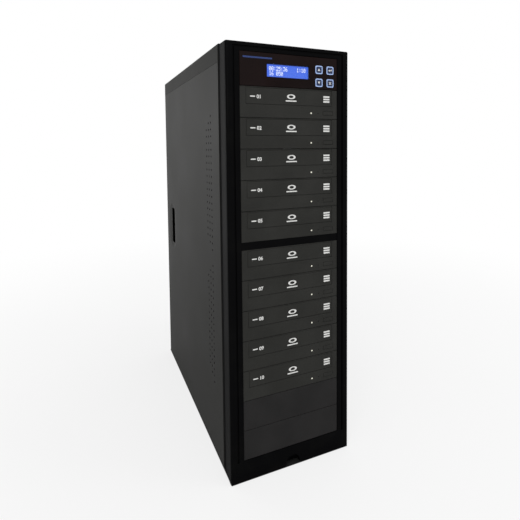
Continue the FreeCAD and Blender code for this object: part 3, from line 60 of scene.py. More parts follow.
# Sockets in expressions, and one material or world while it is being made


class Wire:
    def __init__(self, tree, socket):
        self.tree = tree
        self.socket = socket

    def join(self, operation, first, second):
        wires = [v for v in (first, second) if isinstance(v, Wire)]
        vector = any(w.socket.type in ("VECTOR", "RGBA") for w in wires)
        node = self.tree.nodes.new("ShaderNodeVectorMath" if vector else "ShaderNodeMath")
        node.operation = operation
        for socket, value in zip(node.inputs, (first, second)):
            if isinstance(value, Wire):
                self.tree.links.new(value.socket, socket)
            elif vector and not isinstance(value, tuple):
                socket.default_value = (value, value, value)
            else:
                socket.default_value = value
        return Wire(self.tree, node.outputs[0])

    def __add__(self, other):
        return self.join("ADD", self, other)

    def __radd__(self, other):
        return self.join("ADD", other, self)

    def __sub__(self, other):
        return self.join("SUBTRACT", self, other)

    def __rsub__(self, other):
        return self.join("SUBTRACT", other, self)

    def __mul__(self, other):
        return self.join("MULTIPLY", self, other)

    def __rmul__(self, other):
        return self.join("MULTIPLY", other, self)

    def largest(self, other):
        return self.join("MAXIMUM", self, other)

    def smallest(self, other):
        return self.join("MINIMUM", self, other)


class Finish:
    def __init__(self, name, library=None):
        self.owner = (bpy.data.materials if library is None else library).new(name)
        self.owner.use_nodes = True
        self.tree = self.owner.node_tree
        self.shader = self.tree.nodes.get("Principled BSDF")

    def plug(self, socket, value):
        if isinstance(value, Wire):
            self.tree.links.new(value.socket, socket)
        elif isinstance(value, tuple) and len(value) == 3 and socket.type == "RGBA":
            socket.default_value = (*value, 1)
        else:
            socket.default_value = value

    def add(self, kind, settings=None, sockets=None, output=0):
        node = self.tree.nodes.new(kind)
        for key, value in (settings or {}).items():
            setattr(node, key, value)
        for key, value in (sockets or {}).items():
            self.plug(node.inputs[key], value)
        return Wire(self.tree, node.outputs[output])

    def place(self):
        return self.add("ShaderNodeTexCoord", output="Object")

    def along(self):
        apart = self.add("ShaderNodeSeparateXYZ", None, {0: self.place()})
        return [Wire(self.tree, output) for output in apart.socket.node.outputs]

    def noise(self, scale, detail=2, stretch=None):
        where = self.place()
        if stretch:
            where = where * stretch
        return self.add("ShaderNodeTexNoise", None, {"Vector": where, "Scale": scale, "Detail": detail})

    def cells(self, scale, stretch=None):
        where = self.place()
        if stretch:
            where = where * stretch
        return self.add("ShaderNodeTexVoronoi", None, {"Vector": where, "Scale": scale})

    def rise(self, value, low, high, start=0, end=1):
        sockets = {"Value": value, "From Min": low, "From Max": high, "To Min": start, "To Max": end}
        return self.add("ShaderNodeMapRange", {"interpolation_type": "SMOOTHSTEP"}, sockets)

    def between(self, value, low, high, soft):
        return self.rise(value, low - soft, low + soft) * (1 - self.rise(value, high - soft, high + soft))

    def shade(self, mask, first, second):
        return self.add("ShaderNodeMix", {"data_type": "RGBA"}, {0: mask, 6: first, 7: second}, output=2)

    def mottle(self, pattern, look):
        if "patches" in look:
            pattern = self.rise(pattern, *look["patches"])
        return self.shade(pattern, look["colour"], look["lifted"])

    def relief(self, height, look):
        sockets = {"Height": height, "Distance": look["depth"] * millimetre, "Strength": look["strength"]}
        return self.add("ShaderNodeBump", None, sockets)

    def backgroundRays(self):
        path = self.add("ShaderNodeLightPath").socket.node
        names = ("Is Camera Ray", "Is Glossy Ray", "Is Transmission Ray")
        straight, glossy, through = [Wire(self.tree, path.outputs[name]) for name in names]
        return straight, glossy.largest(through)

    def wear(self, values):
        for key, value in values.items():
            self.plug(self.shader.inputs[key], value)
        return self.owner


def blend(first, second, shares):
    return first * shares[0] + second * shares[1]


# Finishes with one cloudy pattern in colour and gloss, over a finer grain.
# Cloud and grain are a noise's scale and detail, depth is in mm.

simpleLooks = {
    "rubber": {
        "name": "foot rubber", "colour": (0.014, 0.014, 0.014), "lifted": (0.032, 0.031, 0.030),
        "patches": (0.4, 0.7), "cloud": (240, 3), "grain": (2200, 1), "gloss": 0.78, "cloudy": 0.1,
        "depth": 0.04, "strength": 0.4, "plain": {"Specular IOR Level": 0.25},
    },
    "thumb_black": {
        "name": "black oxide screw", "colour": (0.012, 0.012, 0.013), "lifted": (0.070, 0.068, 0.066),
        "patches": (0.52, 0.74), "cloud": (700, 3), "grain": (3500, 1), "gloss": 0.36, "cloudy": 0.2,
        "depth": 0.02, "strength": 0.4, "plain": {"Metallic": 0.6},
    },
    "inner_plastic": {
        "name": "moulded carrier plastic", "colour": (0.060, 0.060, 0.064), "lifted": (0.082, 0.082, 0.086),
        "patches": (0.4, 0.6), "cloud": (1400, 2), "grain": (1400, 2), "gloss": 0.52, "cloudy": 0.1,
        "depth": 0.04, "strength": 0.3, "plain": {},
    },
    "key_cap": {
        "name": "key cap", "colour": (0.005, 0.014, 0.055), "lifted": (0.008, 0.022, 0.085),
        "patches": (0.4, 0.65), "cloud": (300, 2), "grain": (900, 1), "gloss": 0.16, "cloudy": 0.12,
        "depth": 0.03, "strength": 0.15, "plain": {"Specular IOR Level": 0.35},
    },
    "screw_steel": {
        "name": "zinc screw", "colour": (0.40, 0.40, 0.39), "lifted": (0.62, 0.62, 0.60),
        "cloud": (900, 2), "grain": (2600, 1), "gloss": 0.26, "cloudy": 0.2,
        "depth": 0.02, "strength": 0.4, "plain": {"Metallic": 1.0},
    },
    "fan_plastic": {
        "name": "fan plastic", "colour": (0.017, 0.017, 0.018), "lifted": (0.030, 0.030, 0.031),
        "patches": (0.4, 0.65), "cloud": (110, 3), "grain": (1500, 1), "gloss": 0.34, "cloudy": 0.16,
        "depth": 0.03, "strength": 0.25, "plain": {"Specular IOR Level": 0.35},
    },
    "guard_wire": {
        "name": "plated guard wire", "colour": (0.50, 0.50, 0.51), "lifted": (0.72, 0.72, 0.72),
        "cloud": (420, 2), "grain": (1800, 1), "gloss": 0.16, "cloudy": 0.14,
        "depth": 0.02, "strength": 0.3, "plain": {"Metallic": 1.0},
    },
    "rocker_plastic": {
        "name": "rocker plastic", "colour": (0.010, 0.010, 0.011), "lifted": (0.020, 0.020, 0.021),
        "patches": (0.4, 0.65), "cloud": (260, 3), "grain": (1200, 1), "gloss": 0.2, "cloudy": 0.14,
        "depth": 0.03, "strength": 0.2, "plain": {},
    },
    "lead_sheath": {
        "name": "lead sheath", "colour": (0.016, 0.016, 0.018), "lifted": (0.030, 0.030, 0.033),
        "patches": (0.4, 0.65), "cloud": (180, 2), "grain": (700, 2), "gloss": 0.42, "cloudy": 0.14,
        "depth": 0.05, "strength": 0.3, "plain": {},
    },
}


def simpleFinish(look):
    finish = Finish(look["name"])
    cloud = finish.noise(*look["cloud"])
    bump = finish.relief(finish.noise(*look["grain"]), look)
    return finish.wear({"Base Color": finish.mottle(cloud, look), "Normal": bump,
                        "Roughness": look["gloss"] + look["cloudy"] * cloud, **look["plain"]})


def printedInk(name, pale, dense):
    return simpleFinish({
        "name": name, "colour": pale, "lifted": dense, "patches": (0.35, 0.6), "cloud": (2600, 2),
        "grain": (2600, 2), "gloss": 0.42, "cloudy": 0.15, "depth": 0.02, "strength": 0.3,
        "plain": {"Specular IOR Level": 0.3},
    })


# Finishes of the case


def powderCoat(name, specular):
    look = {"colour": (0.0185, 0.0185, 0.0172), "lifted": (0.0250, 0.0248, 0.0230), "patches": (0.38, 0.62),
            "grain": 1500, "pebble": 620, "cloud": (9, 3), "mixed": (0.6, 0.4), "raised": (0.7, 0.5),
            "gloss": 0.40, "cloudy": 0.14, "grainy": 0.05, "depth": 0.06, "strength": 0.35}
    # painted shade for the perforations: a near-black colour inside the panel's outer skin
    holeShade = {"colour": (0.002, 0.002, 0.002), "skin": 94.42 * millimetre, "edge": 0.02 * millimetre,
            "front": 30 * millimetre, "back": 90 * millimetre, "ends": 20 * millimetre}
    low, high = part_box("side_panel_left")
    coat = Finish(name)
    grain = coat.noise(look["grain"])
    cloud = coat.noise(*look["cloud"])
    colour = coat.mottle(blend(grain, cloud, look["mixed"]), look)
    rough = look["gloss"] + look["cloudy"] * cloud + look["grainy"] * grain
    bump = coat.relief(blend(coat.cells(look["pebble"]), grain, look["raised"]), look)
    x, y, z = coat.along()
    holeShadeMask = 1 - coat.rise(x.largest(0 - x), holeShade["skin"], holeShade["skin"] + holeShade["edge"])
    holeShadeMask = holeShadeMask * coat.between(y, low[1] + holeShade["front"], low[1] + holeShade["back"], millimetre)
    holeShadeMask = holeShadeMask * coat.between(z, low[2] + holeShade["ends"], high[2] - holeShade["ends"], millimetre)
    colour = coat.shade(holeShadeMask, colour, holeShade["colour"])  # painted shade: the hole walls and everything inside the panel's outer skin in the perforated band are darkened
    return coat.wear({"Base Color": colour, "Roughness": rough, "Normal": bump,
                      "Specular IOR Level": specular})


def platedSteel():
    look = {"colour": (0.42, 0.43, 0.45), "lifted": (0.60, 0.61, 0.62), "patches": (0.25, 0.65),
            "spangle": 85, "streak": (60, 3, (1, 9, 1)), "mixed": (0.5, 0.5), "gloss": 0.30, "streaky": 0.16,
            "depth": 0.04, "strength": 0.3}
    # the dark edge colour is partly paint and partly painted shade for what shows in the seams
    edge = {"colour": (0.006, 0.006, 0.006), "skin": 92.6 * millimetre, "rim": 1.5 * millimetre,
            "soft": 0.1 * millimetre, "rougher": 0.3}
    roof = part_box("front_frame")[1][2] - edge["rim"]
    zinc = Finish("zinc plated sheet")
    streak = zinc.noise(*look["streak"])
    colour = zinc.mottle(blend(zinc.cells(look["spangle"]), streak, look["mixed"]), look)
    x, y, z = zinc.along()
    paintAndSeamShade = zinc.rise(x.largest(0 - x), edge["skin"], edge["skin"] + edge["soft"])
    paintAndSeamShade = paintAndSeamShade.largest(zinc.rise(z, roof, roof + edge["soft"]))  # dark paint on the frame's outer skin and top rim, which also stands in as painted shade in the seams between the frame, panels and cover
    rough = look["gloss"] + look["streaky"] * streak + edge["rougher"] * paintAndSeamShade
    return zinc.wear({"Base Color": zinc.shade(paintAndSeamShade, colour, edge["colour"]), "Metallic": 1 - paintAndSeamShade,
                      "Roughness": rough, "Normal": zinc.relief(streak, look)})


# Finishes of the front


def bezelGloss():
    look = {"colour": (0.0022, 0.0022, 0.0025), "lifted": (0.0040, 0.0040, 0.0040), "patches": (0.45, 0.75),
            "smudge": (26, 4), "smudges": (0.38, 0.74), "coat": 0.038, "smudged": 0.025, "coatGloss": 0.07,
            "under": 0.35, "fine": 420, "grainy": 0.1, "specular": 0.006,
            "wave": (55, 1), "depth": 0.10, "strength": 0.12}
    gloss = Finish("bezel black gloss")
    smudge = gloss.noise(*look["smudge"])
    coat = gloss.rise(smudge, *look["smudges"], look["coat"], look["smudged"])
    bump = gloss.relief(gloss.noise(*look["wave"]), look)  # faint waviness of a moulding
    return gloss.wear({"Base Color": gloss.mottle(smudge, look), "Normal": bump,
                       "Roughness": look["under"] + look["grainy"] * gloss.noise(look["fine"]),
                       "Specular IOR Level": look["specular"], "Coat Weight": coat,
                       "Coat Roughness": look["coatGloss"]})


def smokedPanel():
    look = {"colour": (0.0050, 0.0020, 0.0018), "lifted": (0.0085, 0.0035, 0.0032), "patches": (0.35, 0.65),
            "cloud": 14, "smudge": (34, 4), "smudges": (0.4, 0.75), "coat": 0.12, "smudged": 0.08,
            "coatGloss": 0.04, "under": 0.3, "cloudy": 0.1, "specular": 0.02,
            "wave": (40, 1), "depth": 0.06, "strength": 0.1}
    panel = Finish("smoked control panel")
    cloud = panel.noise(look["cloud"])
    coat = panel.rise(panel.noise(*look["smudge"]), *look["smudges"], look["coat"], look["smudged"])
    bump = panel.relief(panel.noise(*look["wave"]), look)
    return panel.wear({"Base Color": panel.mottle(cloud, look), "Normal": bump,
                       "Roughness": look["under"] + look["cloudy"] * cloud,
                       "Specular IOR Level": look["specular"], "Coat Weight": coat,
                       "Coat Roughness": look["coatGloss"]})


def grainedPlastic(look):
    plastic = Finish(look["name"])
    grain = plastic.noise(look["grain"])
    cloud = plastic.noise(*look["cloud"])
    return plastic.wear({"Base Color": plastic.mottle(blend(grain, cloud, look["mixed"]), look),
                         "Roughness": look["gloss"] + look["cloudy"] * cloud,
                         "Normal": plastic.relief(plastic.cells(look["pebble"]) + grain, look),
                         "Specular IOR Level": look["specular"]})


def blankGrain():
    return grainedPlastic({
        "name": "bay cover grain", "colour": (0.016, 0.0155, 0.0155), "lifted": (0.023, 0.022, 0.022),
        "patches": (0.4, 0.62), "grain": 1800, "cloud": (18, 3), "mixed": (0.5, 0.5), "pebble": 900,
        "gloss": 0.46, "cloudy": 0.10, "specular": 0.08, "depth": 0.04, "strength": 0.35,
    })


def drivePlastic():
    return grainedPlastic({
        "name": "drive front grain", "colour": (0.0225, 0.0225, 0.0205), "lifted": (0.030, 0.030, 0.0275),
        "patches": (0.4, 0.62), "grain": 1900, "cloud": (22, 3), "mixed": (0.55, 0.45), "pebble": 950,
        "gloss": 0.50, "cloudy": 0.10, "specular": 0.08, "depth": 0.04, "strength": 0.35,
    })


def lampLens():
    look = {"colour": (0.80, 0.79, 0.66), "lifted": (0.95, 0.94, 0.84), "patches": (0.4, 0.6), "cloud": 1500,
            "gloss": 0.22, "cloudy": 0.1, "glow": (0.12, 0.12, 0.10), "coat": 0.3}
    lens = Finish("lamp lens")
    cloud = lens.noise(look["cloud"])
    colour = lens.mottle(cloud, look)
    return lens.wear({"Base Color": colour, "Roughness": look["gloss"] + look["cloudy"] * cloud,
                      "Emission Color": colour * look["glow"], "Emission Strength": 1.0,
                      "Coat Weight": look["coat"]})


def displayFace():
    look = {"lit": (0.048, 0.150, 0.860), "dim": (0.030, 0.105, 0.700), "unlit": (0.01, 0.02, 0.06),
            "frame": (0.012, 0.012, 0.013), "board": (0.010, 0.070, 0.035), "even": (0.8, 0.2),
            "cloud": 30, "grain": 600, "gloss": 0.35, "grainy": 0.15}
    size = {"dimRim": 2.5 * millimetre, "sharp": 0.1 * millimetre, "skin": 0.4 * millimetre,
            "boardFrom": 6 * millimetre, "boardTo": 7 * millimetre}
    low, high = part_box("lcd_glass")
    display = Finish("lit display")
    x, y, z = display.along()
    glow = display.between(x, low[0], high[0], size["dimRim"])
    glow = glow * display.between(z, low[2], high[2], size["dimRim"])
    front = 1 - display.rise(y, high[1], high[1] + size["skin"])
    screen = front * display.between(x, low[0], high[0], size["sharp"])
    screen = screen * display.between(z, low[2], high[2], size["sharp"])
    steady, uneven = look["even"]
    glow = glow * (steady + uneven * display.noise(look["cloud"]))
    backlight = display.shade(glow, look["dim"], look["lit"])
    behind = display.rise(y, high[1] + size["boardFrom"], high[1] + size["boardTo"])
    body = display.shade(behind, look["frame"], look["board"])
    return display.wear({"Base Color": display.shade(screen, body, look["unlit"]),
                         "Emission Color": display.shade(screen, (0.0, 0.0, 0.0), backlight),
                         "Emission Strength": 1.0,
                         "Roughness": look["gloss"] + look["grainy"] * display.noise(look["grain"])})


def displayWindow():
    look = {"colour": (0.10, 0.13, 0.20), "clear": 0.10, "hazy": 0.04, "smudge": (45, 3),
            "smudges": (0.5, 0.75), "gloss": 0.04, "smudged": 0.08, "specular": 0.4}
    window = Finish("display window")
    smudge = window.noise(*look["smudge"])
    rough = look["gloss"] + look["smudged"] * window.rise(smudge, *look["smudges"])
    return window.wear({"Base Color": look["colour"], "Roughness": rough,
                        "Alpha": look["clear"] + look["hazy"] * smudge,
                        "Specular IOR Level": look["specular"]})


def displayDots():
    look = {"unlit": (0.2, 0.25, 0.3), "colour": (0.86, 0.93, 1.0), "lifted": (1.0, 1.0, 1.0), "cloud": 500,
            "gloss": 0.4}
    dots = Finish("display dots")
    glow = dots.mottle(dots.noise(look["cloud"]), look)
    return dots.wear({"Base Color": look["unlit"], "Emission Color": glow, "Emission Strength": 1.0,
                      "Roughness": look["gloss"]})


# Finishes of the boards and the inlet


def circuitBoard():
    look = {"mask": (0.012, 0.085, 0.040), "trace": (0.022, 0.140, 0.070), "chip": (0.012, 0.012, 0.013),
            "fin": (0.46, 0.47, 0.48), "lines": (420, (1, 0.25, 1)), "between": (0.25, 0.45),
            "gloss": 0.30, "grainy": 0.2, "grain": 300, "coat": 0.3}
    size = {"thick": 1.7 * millimetre, "soft": 0.2 * millimetre, "finsFrom": 7 * millimetre,
            "finsTo": 8 * millimetre, "finsReach": 20 * millimetre}
    low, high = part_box("controller_board")
    board = Finish("solder mask")
    x, y, z = board.along()
    trace = board.rise(board.cells(*look["lines"]), *look["between"])
    mask = board.shade(trace, look["mask"], look["trace"])
    onBoard = board.between(y, low[1], high[1], millimetre)
    top = low[2] + size["thick"]
    parts = board.rise(z, top, top + size["soft"]) * onBoard
    fins = board.rise(z, low[2] + size["finsFrom"], low[2] + size["finsTo"]) * onBoard
    fins = fins * board.between(x, -size["finsReach"], size["finsReach"], millimetre)
    colour = board.shade(parts, mask, board.shade(fins, look["chip"], look["fin"]))
    return board.wear({"Base Color": colour, "Metallic": parts * fins,
                       "Roughness": look["gloss"] + look["grainy"] * board.noise(look["grain"]),
                       "Coat Weight": look["coat"] * (1 - parts)})


def inletPlastic():
    look = {"colour": (0.016, 0.016, 0.017), "lifted": (0.028, 0.028, 0.029), "patches": (0.4, 0.6),
            "blade": (0.72, 0.68, 0.58), "grain": 1600, "gloss": 0.36, "grainy": 0.1, "specular": 0.35,
            "depth": 0.03, "strength": 0.25}
    blade = {"steps": (-7, 0, 7), "half": 1.1, "soft": 0.05, "deep": 14, "shallow": 3, "edge": 0.1,
             "low": 7.6, "high": 17, "endSoft": 0.2}  # mm from the inlet's middle, back and lower edge
    low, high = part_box("power_inlet")
    inlet = Finish("inlet plastic")
    x, y, z = inlet.along()
    metal = 0
    for step in blade["steps"]:
        where = (low[0] + high[0]) / 2 + step * millimetre
        half = blade["half"] * millimetre
        metal = metal + inlet.between(x, where - half, where + half, blade["soft"] * millimetre)
    metal = metal.smallest(1) * inlet.between(y, high[1] - blade["deep"] * millimetre,
                                              high[1] - blade["shallow"] * millimetre,
                                              blade["edge"] * millimetre)
    metal = metal * inlet.between(z, low[2] + blade["low"] * millimetre, low[2] + blade["high"] * millimetre,
                                  blade["endSoft"] * millimetre)
    grain = inlet.noise(look["grain"])
    colour = inlet.shade(metal, inlet.mottle(grain, look), look["blade"])
    return inlet.wear({"Base Color": colour, "Metallic": metal, "Normal": inlet.relief(grain, look),
                       "Roughness": look["gloss"] + look["grainy"] * grain,
                       "Specular IOR Level": look["specular"]})


finishes = {slot: simpleFinish(look) for slot, look in simpleLooks.items()}
finishes.update({
    "powder_steel": powderCoat("charcoal powder coat", 0.055),
    "plated_steel": platedSteel(),
    "bezel_gloss": bezelGloss(),
    "blank_plastic": blankGrain(),
    "smoked_panel": smokedPanel(),
    "display": displayFace(),
    "display_window": displayWindow(),
    "circuit_board": circuitBoard(),
    "drive_plastic": drivePlastic(),
    "lamp_lens": lampLens(),
    "inlet_plastic": inletPlastic(),
})
coverCoat = powderCoat("cover powder coat", 0.030)
whiteInk = printedInk("white print", (0.66, 0.66, 0.64), (0.80, 0.80, 0.78))
blueInk = printedInk("blue print", (0.012, 0.030, 0.120), (0.018, 0.045, 0.175))
ringInk = printedInk("key ring print", (0.33, 0.46, 0.80), (0.42, 0.56, 0.88))

for subpart in frame["record"]["subparts"]:
    node = frame["nodes"][subpart["node"]]
    finish = coverCoat if subpart["node"] == "top_cover" else finishes[subpart["material_slot"]]
    if node.material_slots:
        for holder in node.material_slots:
            holder.material = finish
    else:
        node.data.materials.append(finish)
print("finishes:", len(bpy.data.materials))


# Flat printed shapes: loops of (x, z) with a front and a back


def roundedLoop(x, z, wide, tall, radius, steps=6):
    loop = []
    corners = ((1, 1, 0), (-1, 1, 90), (-1, -1, 180), (1, -1, 270))
    for sideX, sideZ, turn in corners:
        for i in range(steps + 1):
            angle = math.radians(turn + 90 * i / steps)
            cornerX = x + sideX * (wide / 2 - radius)
            cornerZ = z + sideZ * (tall / 2 - radius)
            loop.append((cornerX + radius * math.cos(angle), cornerZ + radius * math.sin(angle)))
    return loop


def roundLoop(x, z, wide, tall, steps=40):
    turn = 2 * math.pi / steps
    return [(x + wide / 2 * math.cos(i * turn), z + tall / 2 * math.sin(i * turn)) for i in range(steps)]


def addPlate(mesh, loop, front, back):
    frontVerts = [mesh.verts.new((x, front, z)) for x, z in loop]
    backVerts = [mesh.verts.new((x, back, z)) for x, z in loop]
    mesh.faces.new(frontVerts)
    mesh.faces.new(backVerts[::-1])
    count = len(loop)
    for i in range(count):
        j = (i + 1) % count
        mesh.faces.new((frontVerts[j], frontVerts[i], backVerts[i], backVerts[j]))


def addRing(mesh, outer, inner, front, back):
    rows = []
    for loop, y in ((outer, front), (inner, front), (inner, back), (outer, back)):
        rows.append([mesh.verts.new((x, y, z)) for x, z in loop])
    count = len(outer)
    for row, after in zip(rows, rows[1:] + rows[:1]):
        for i in range(count):
            j = (i + 1) % count
            mesh.faces.new((row[i], after[i], after[j], row[j]))


letterShare = 0.7  # height of the built-in digits, as a share of their size


def addDigits(mesh, words, x, z, height, bold, front, back):
    curve = bpy.data.curves.new("digits", "FONT")
    curve.body = words
    curve.size = height / letterShare
    curve.offset = bold
    curve.extrude = abs(back - front) / 2
    curve.resolution_u = 4
    holder = bpy.data.objects.new("digits", curve)
    bpy.context.scene.collection.objects.link(holder)
    bpy.context.view_layer.update()
    flat = bpy.data.meshes.new_from_object(holder.evaluated_get(bpy.context.evaluated_depsgraph_get()))
    upright = Matrix.Rotation(math.radians(90), 4, "X")
    flat.transform(Matrix.Translation((x, (front + back) / 2, z)) @ upright)
    mesh.from_mesh(flat)
    bpy.data.objects.remove(holder)
    bpy.data.curves.remove(curve)
    bpy.data.meshes.remove(flat)


def finishPiece(name, mesh, material, body):
    bmesh.ops.recalc_face_normals(mesh, faces=mesh.faces)
    data = bpy.data.meshes.new(name)
    mesh.to_mesh(data)
    mesh.free()
    piece = bpy.data.objects.new(name, data)
    bpy.context.scene.collection.objects.link(piece)
    data.materials.append(material)
    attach(piece, body)
    return piece


def bodyOf(node):
    for body, held in frame["record"]["behaviour"]["bodies"].items():
        if node in held:
            return body


# Marks on the doors of the drives

driveMark = {
    "drop": 11.9,  # mm from the top of the door to the middle of the marks
    "ink": 0.03,
    "sunk": 0.02,
    "numberRight": -43.6,
    "numberTall": 4.8,
    "bold": 0.22,
    "ruleLeft": -61.0,
    "ruleRight": -53.6,
    "ruleTall": 1.6,
    "discX": 0.6,
    "discWide": 13.0,
    "discTall": 6.6,
    "discBand": 1.7,
    "discLift": 1.6,
    "underWide": 17.0,
    "underTall": 1.7,
    "underDrop": 6.0,
    "stackX": 57.8,
    "stackWide": 10.4,
    "stackBar": 2.3,
    "stackPitch": 3.5,
}
driveMarkShares = {"digitWide": 0.82, "ends": 2.2, "bandWide": 3.4, "bandTall": 1.6, "barEnds": 4}


def markDrive(index):
    number = "%02d" % (index + 1)
    node = "disc_tray_" + number
    low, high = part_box(node)
    size = {key: value * millimetre for key, value in driveMark.items()}
    share = driveMarkShares
    front = low[1] - size["ink"]
    back = low[1] + size["sunk"]
    middle = high[2] - size["drop"]
    mesh = bmesh.new()
    ruleWide = size["ruleRight"] - size["ruleLeft"]
    rule = roundedLoop(size["ruleLeft"] + ruleWide / 2, middle, ruleWide, size["ruleTall"],
                       size["ruleTall"] / share["ends"])
    addPlate(mesh, rule, front, back)
    numberLeft = size["numberRight"] - len(number) * share["digitWide"] * size["numberTall"]
    addDigits(mesh, number, numberLeft, middle - size["numberTall"] / 2, size["numberTall"],
              size["bold"], front, back)
    discZ = middle + size["discLift"]
    outer = roundLoop(size["discX"], discZ, size["discWide"], size["discTall"])
    inner = roundLoop(size["discX"], discZ, size["discWide"] - share["bandWide"] * size["discBand"],
                      size["discTall"] - share["bandTall"] * size["discBand"])
    addRing(mesh, outer, inner, front, back)
    under = roundedLoop(size["discX"], discZ - size["underDrop"], size["underWide"], size["underTall"],
                        size["underTall"] / share["ends"])
    addPlate(mesh, under, front, back)
    for step in (-1, 0, 1):
        z = middle + step * size["stackPitch"]
        bar = roundedLoop(size["stackX"], z, size["stackWide"], size["stackBar"],
                          size["stackBar"] / share["barEnds"])
        addPlate(mesh, bar, front, back)
    finishPiece("drive_mark_" + number, mesh, whiteInk, bodyOf(node))


for index in range(10):
    markDrive(index)
print("drive marks done")


# Rings and symbols on the keys

keyMark = {
    "ink": 0.03,
    "sunk": 0.02,
    "ringInset": 0.35,
    "ringBand": 1.45,
    "ringRound": 2.2,
    "symbol": 2.1,  # half of a symbol's width
}


def turnedBar(turn, reach=1.15, thin=0.26):
    c = math.cos(math.radians(turn))
    s = math.sin(math.radians(turn))
    corners = ((-reach, -thin), (reach, -thin), (reach, thin), (-reach, thin))
    return [(c * x - s * z, s * x + c * z) for x, z in corners]


keyOutlines = {  # in halves of a symbol's width
    "up": [[(-1, -0.75), (1, -0.75), (0, 0.95)]],
    "down": [[(-1, 0.75), (0, -0.95), (1, 0.75)]],
    "enter": [[(-0.4, -0.26), (1.3, -0.26), (1.3, 0.9), (0.85, 0.9), (0.85, 0.26), (-0.4, 0.26)],
              [(-1.35, 0), (-0.35, -0.8), (-0.35, 0.8)]],
    "escape": [turnedBar(45), turnedBar(-45)],
}


def markKey(name):
    low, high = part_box("button_" + name)
    size = {key: value * millimetre for key, value in keyMark.items()}
    x = (low[0] + high[0]) / 2
    z = (low[2] + high[2]) / 2
    wide = high[2] - low[2] - 2 * size["ringInset"]
    front = low[1] - size["ink"]
    back = low[1] + size["sunk"]
    band = size["ringBand"]
    mesh = bmesh.new()
    outer = roundedLoop(x, z, wide, wide, size["ringRound"])
    inner = roundedLoop(x, z, wide - 2 * band, wide - 2 * band, size["ringRound"] - band / 2)
    addRing(mesh, outer, inner, front, back)
    finishPiece("key_ring_" + name, mesh, ringInk, "key_" + name)
    mesh = bmesh.new()
    for outline in keyOutlines[name]:
        addPlate(mesh, [(x + across * size["symbol"], z + up * size["symbol"]) for across, up in outline],
                 front, back)
    finishPiece("key_symbol_" + name, mesh, whiteInk, "key_" + name)


for name in keyOutlines:
    markKey(name)
print("key marks done")


# Bar and ring on the two halves of the rocker switch

rockerMark = {"ink": 0.03, "sunk": 0.03, "tall": 3.4, "band": 0.55, "fromEnd": 4.4, "reach": 2}


def markRocker():
    node = frame["nodes"]["rocker_switch"]
    low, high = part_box("rocker_switch")
    size = {key: value * millimetre for key, value in rockerMark.items()}
    tall = size["tall"]
    band = size["band"]
    bar = [roundedLoop(0, 0, band, tall, band / 3)]
    ring = [roundLoop(0, 0, tall, tall), roundLoop(0, 0, tall - 2 * band, tall - 2 * band)]
    rocker = bmesh.new()
    for loops, z in ((bar, high[2] - size["fromEnd"]), (ring, low[2] + size["fromEnd"])):
        start = Vector(((low[0] + high[0]) / 2, high[1] + size["reach"], z))
        spot, normal = node.closest_point_on_mesh(start)[1:3]
        mark = bmesh.new()
        draw = addPlate if loops is bar else addRing
        draw(mark, *loops, -size["ink"], size["sunk"])
        turn = normal.to_track_quat("-Y", "Z").to_matrix().to_4x4()
        bmesh.ops.transform(mark, matrix=Matrix.Translation(spot) @ turn, verts=mark.verts)
        flat = bpy.data.meshes.new("rocker sign")
        mark.to_mesh(flat)
        mark.free()
        rocker.from_mesh(flat)
        bpy.data.meshes.remove(flat)
    finishPiece("rocker_mark", rocker, whiteInk, "rocker")


markRocker()
print("rocker marks done")


# Digits of the display, as lit dots

displayRows = {"upper": "00:25:36    1:10", "lower": "16 050          "}
displaySizes = {"pitch": 3.55, "rowPitch": 6.6, "dotWide": 0.62, "dotTall": 0.80, "gap": 0.03, "lift": 0.06}
digitShapes = {
    "0": "01110 10001 10011 10101 11001 10001 01110",
    "1": "00100 01100 00100 00100 00100 00100 01110",
    "2": "01110 10001 00001 00010 00100 01000 11111",
    "3": "11111 00010 00100 00010 00001 10001 01110",
    "4": "00010 00110 01010 10010 11111 00010 00010",
    "5": "11111 10000 11110 00001 00001 10001 01110",
    "6": "00110 01000 10000 11110 10001 10001 01110",
    "7": "11111 00001 00010 00100 01000 01000 01000",
    "8": "01110 10001 10001 01110 10001 10001 01110",
    "9": "01110 10001 10001 01111 00001 00010 01100",
    ":": "00000 00100 00100 00000 00100 00100 00000",
}


def makeDisplay():
    low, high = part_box("lcd_glass")
    centre = (low + high) / 2
    size = {key: value * millimetre for key, value in displaySizes.items()}
    mesh = bmesh.new()
    front = high[1] - size["lift"]
    for row, words in ((0.5, displayRows["upper"]), (-0.5, displayRows["lower"])):
        for place, sign in enumerate(words):
            lines = digitShapes.get(sign, "").split()
            cellX = centre[0] + (place - len(words) / 2 + 0.5) * size["pitch"]
            cellZ = centre[2] + row * size["rowPitch"]
            for down, line in enumerate(lines):
                for across, lit in enumerate(line):
                    if lit == "1":
                        x = cellX + (across - 2) * size["dotWide"]  # a digit is 5 dots wide and 7 tall
                        z = cellZ + (3 - down) * size["dotTall"]
                        dot = roundedLoop(x, z, size["dotWide"] - size["gap"], size["dotTall"] - size["gap"],
                                          size["gap"], 1)
                        addPlate(mesh, dot, front, high[1])
    finishPiece("display_digits", mesh, displayDots(), "chassis")


makeDisplay()
print("display done")


# Plain blue rule at the top left of the control panel

panelRule = {"left": -71.0, "right": -28.0, "fromTop": 7.4, "tall": 2.2, "ink": 0.03}


def makePanelRule():
    low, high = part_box("control_fascia")
    size = {key: value * millimetre for key, value in panelRule.items()}
    wide = size["right"] - size["left"]
    x = size["left"] + wide / 2
    z = high[2] - size["fromTop"]
    mesh = bmesh.new()
    rule = roundedLoop(x, z, wide, size["tall"], size["tall"] / driveMarkShares["ends"])
    addPlate(mesh, rule, low[1] - size["ink"], low[1])
    finishPiece("panel_rule", mesh, blueInk, "chassis")


makePanelRule()
print("panel rule done")


# Floor, light and camera

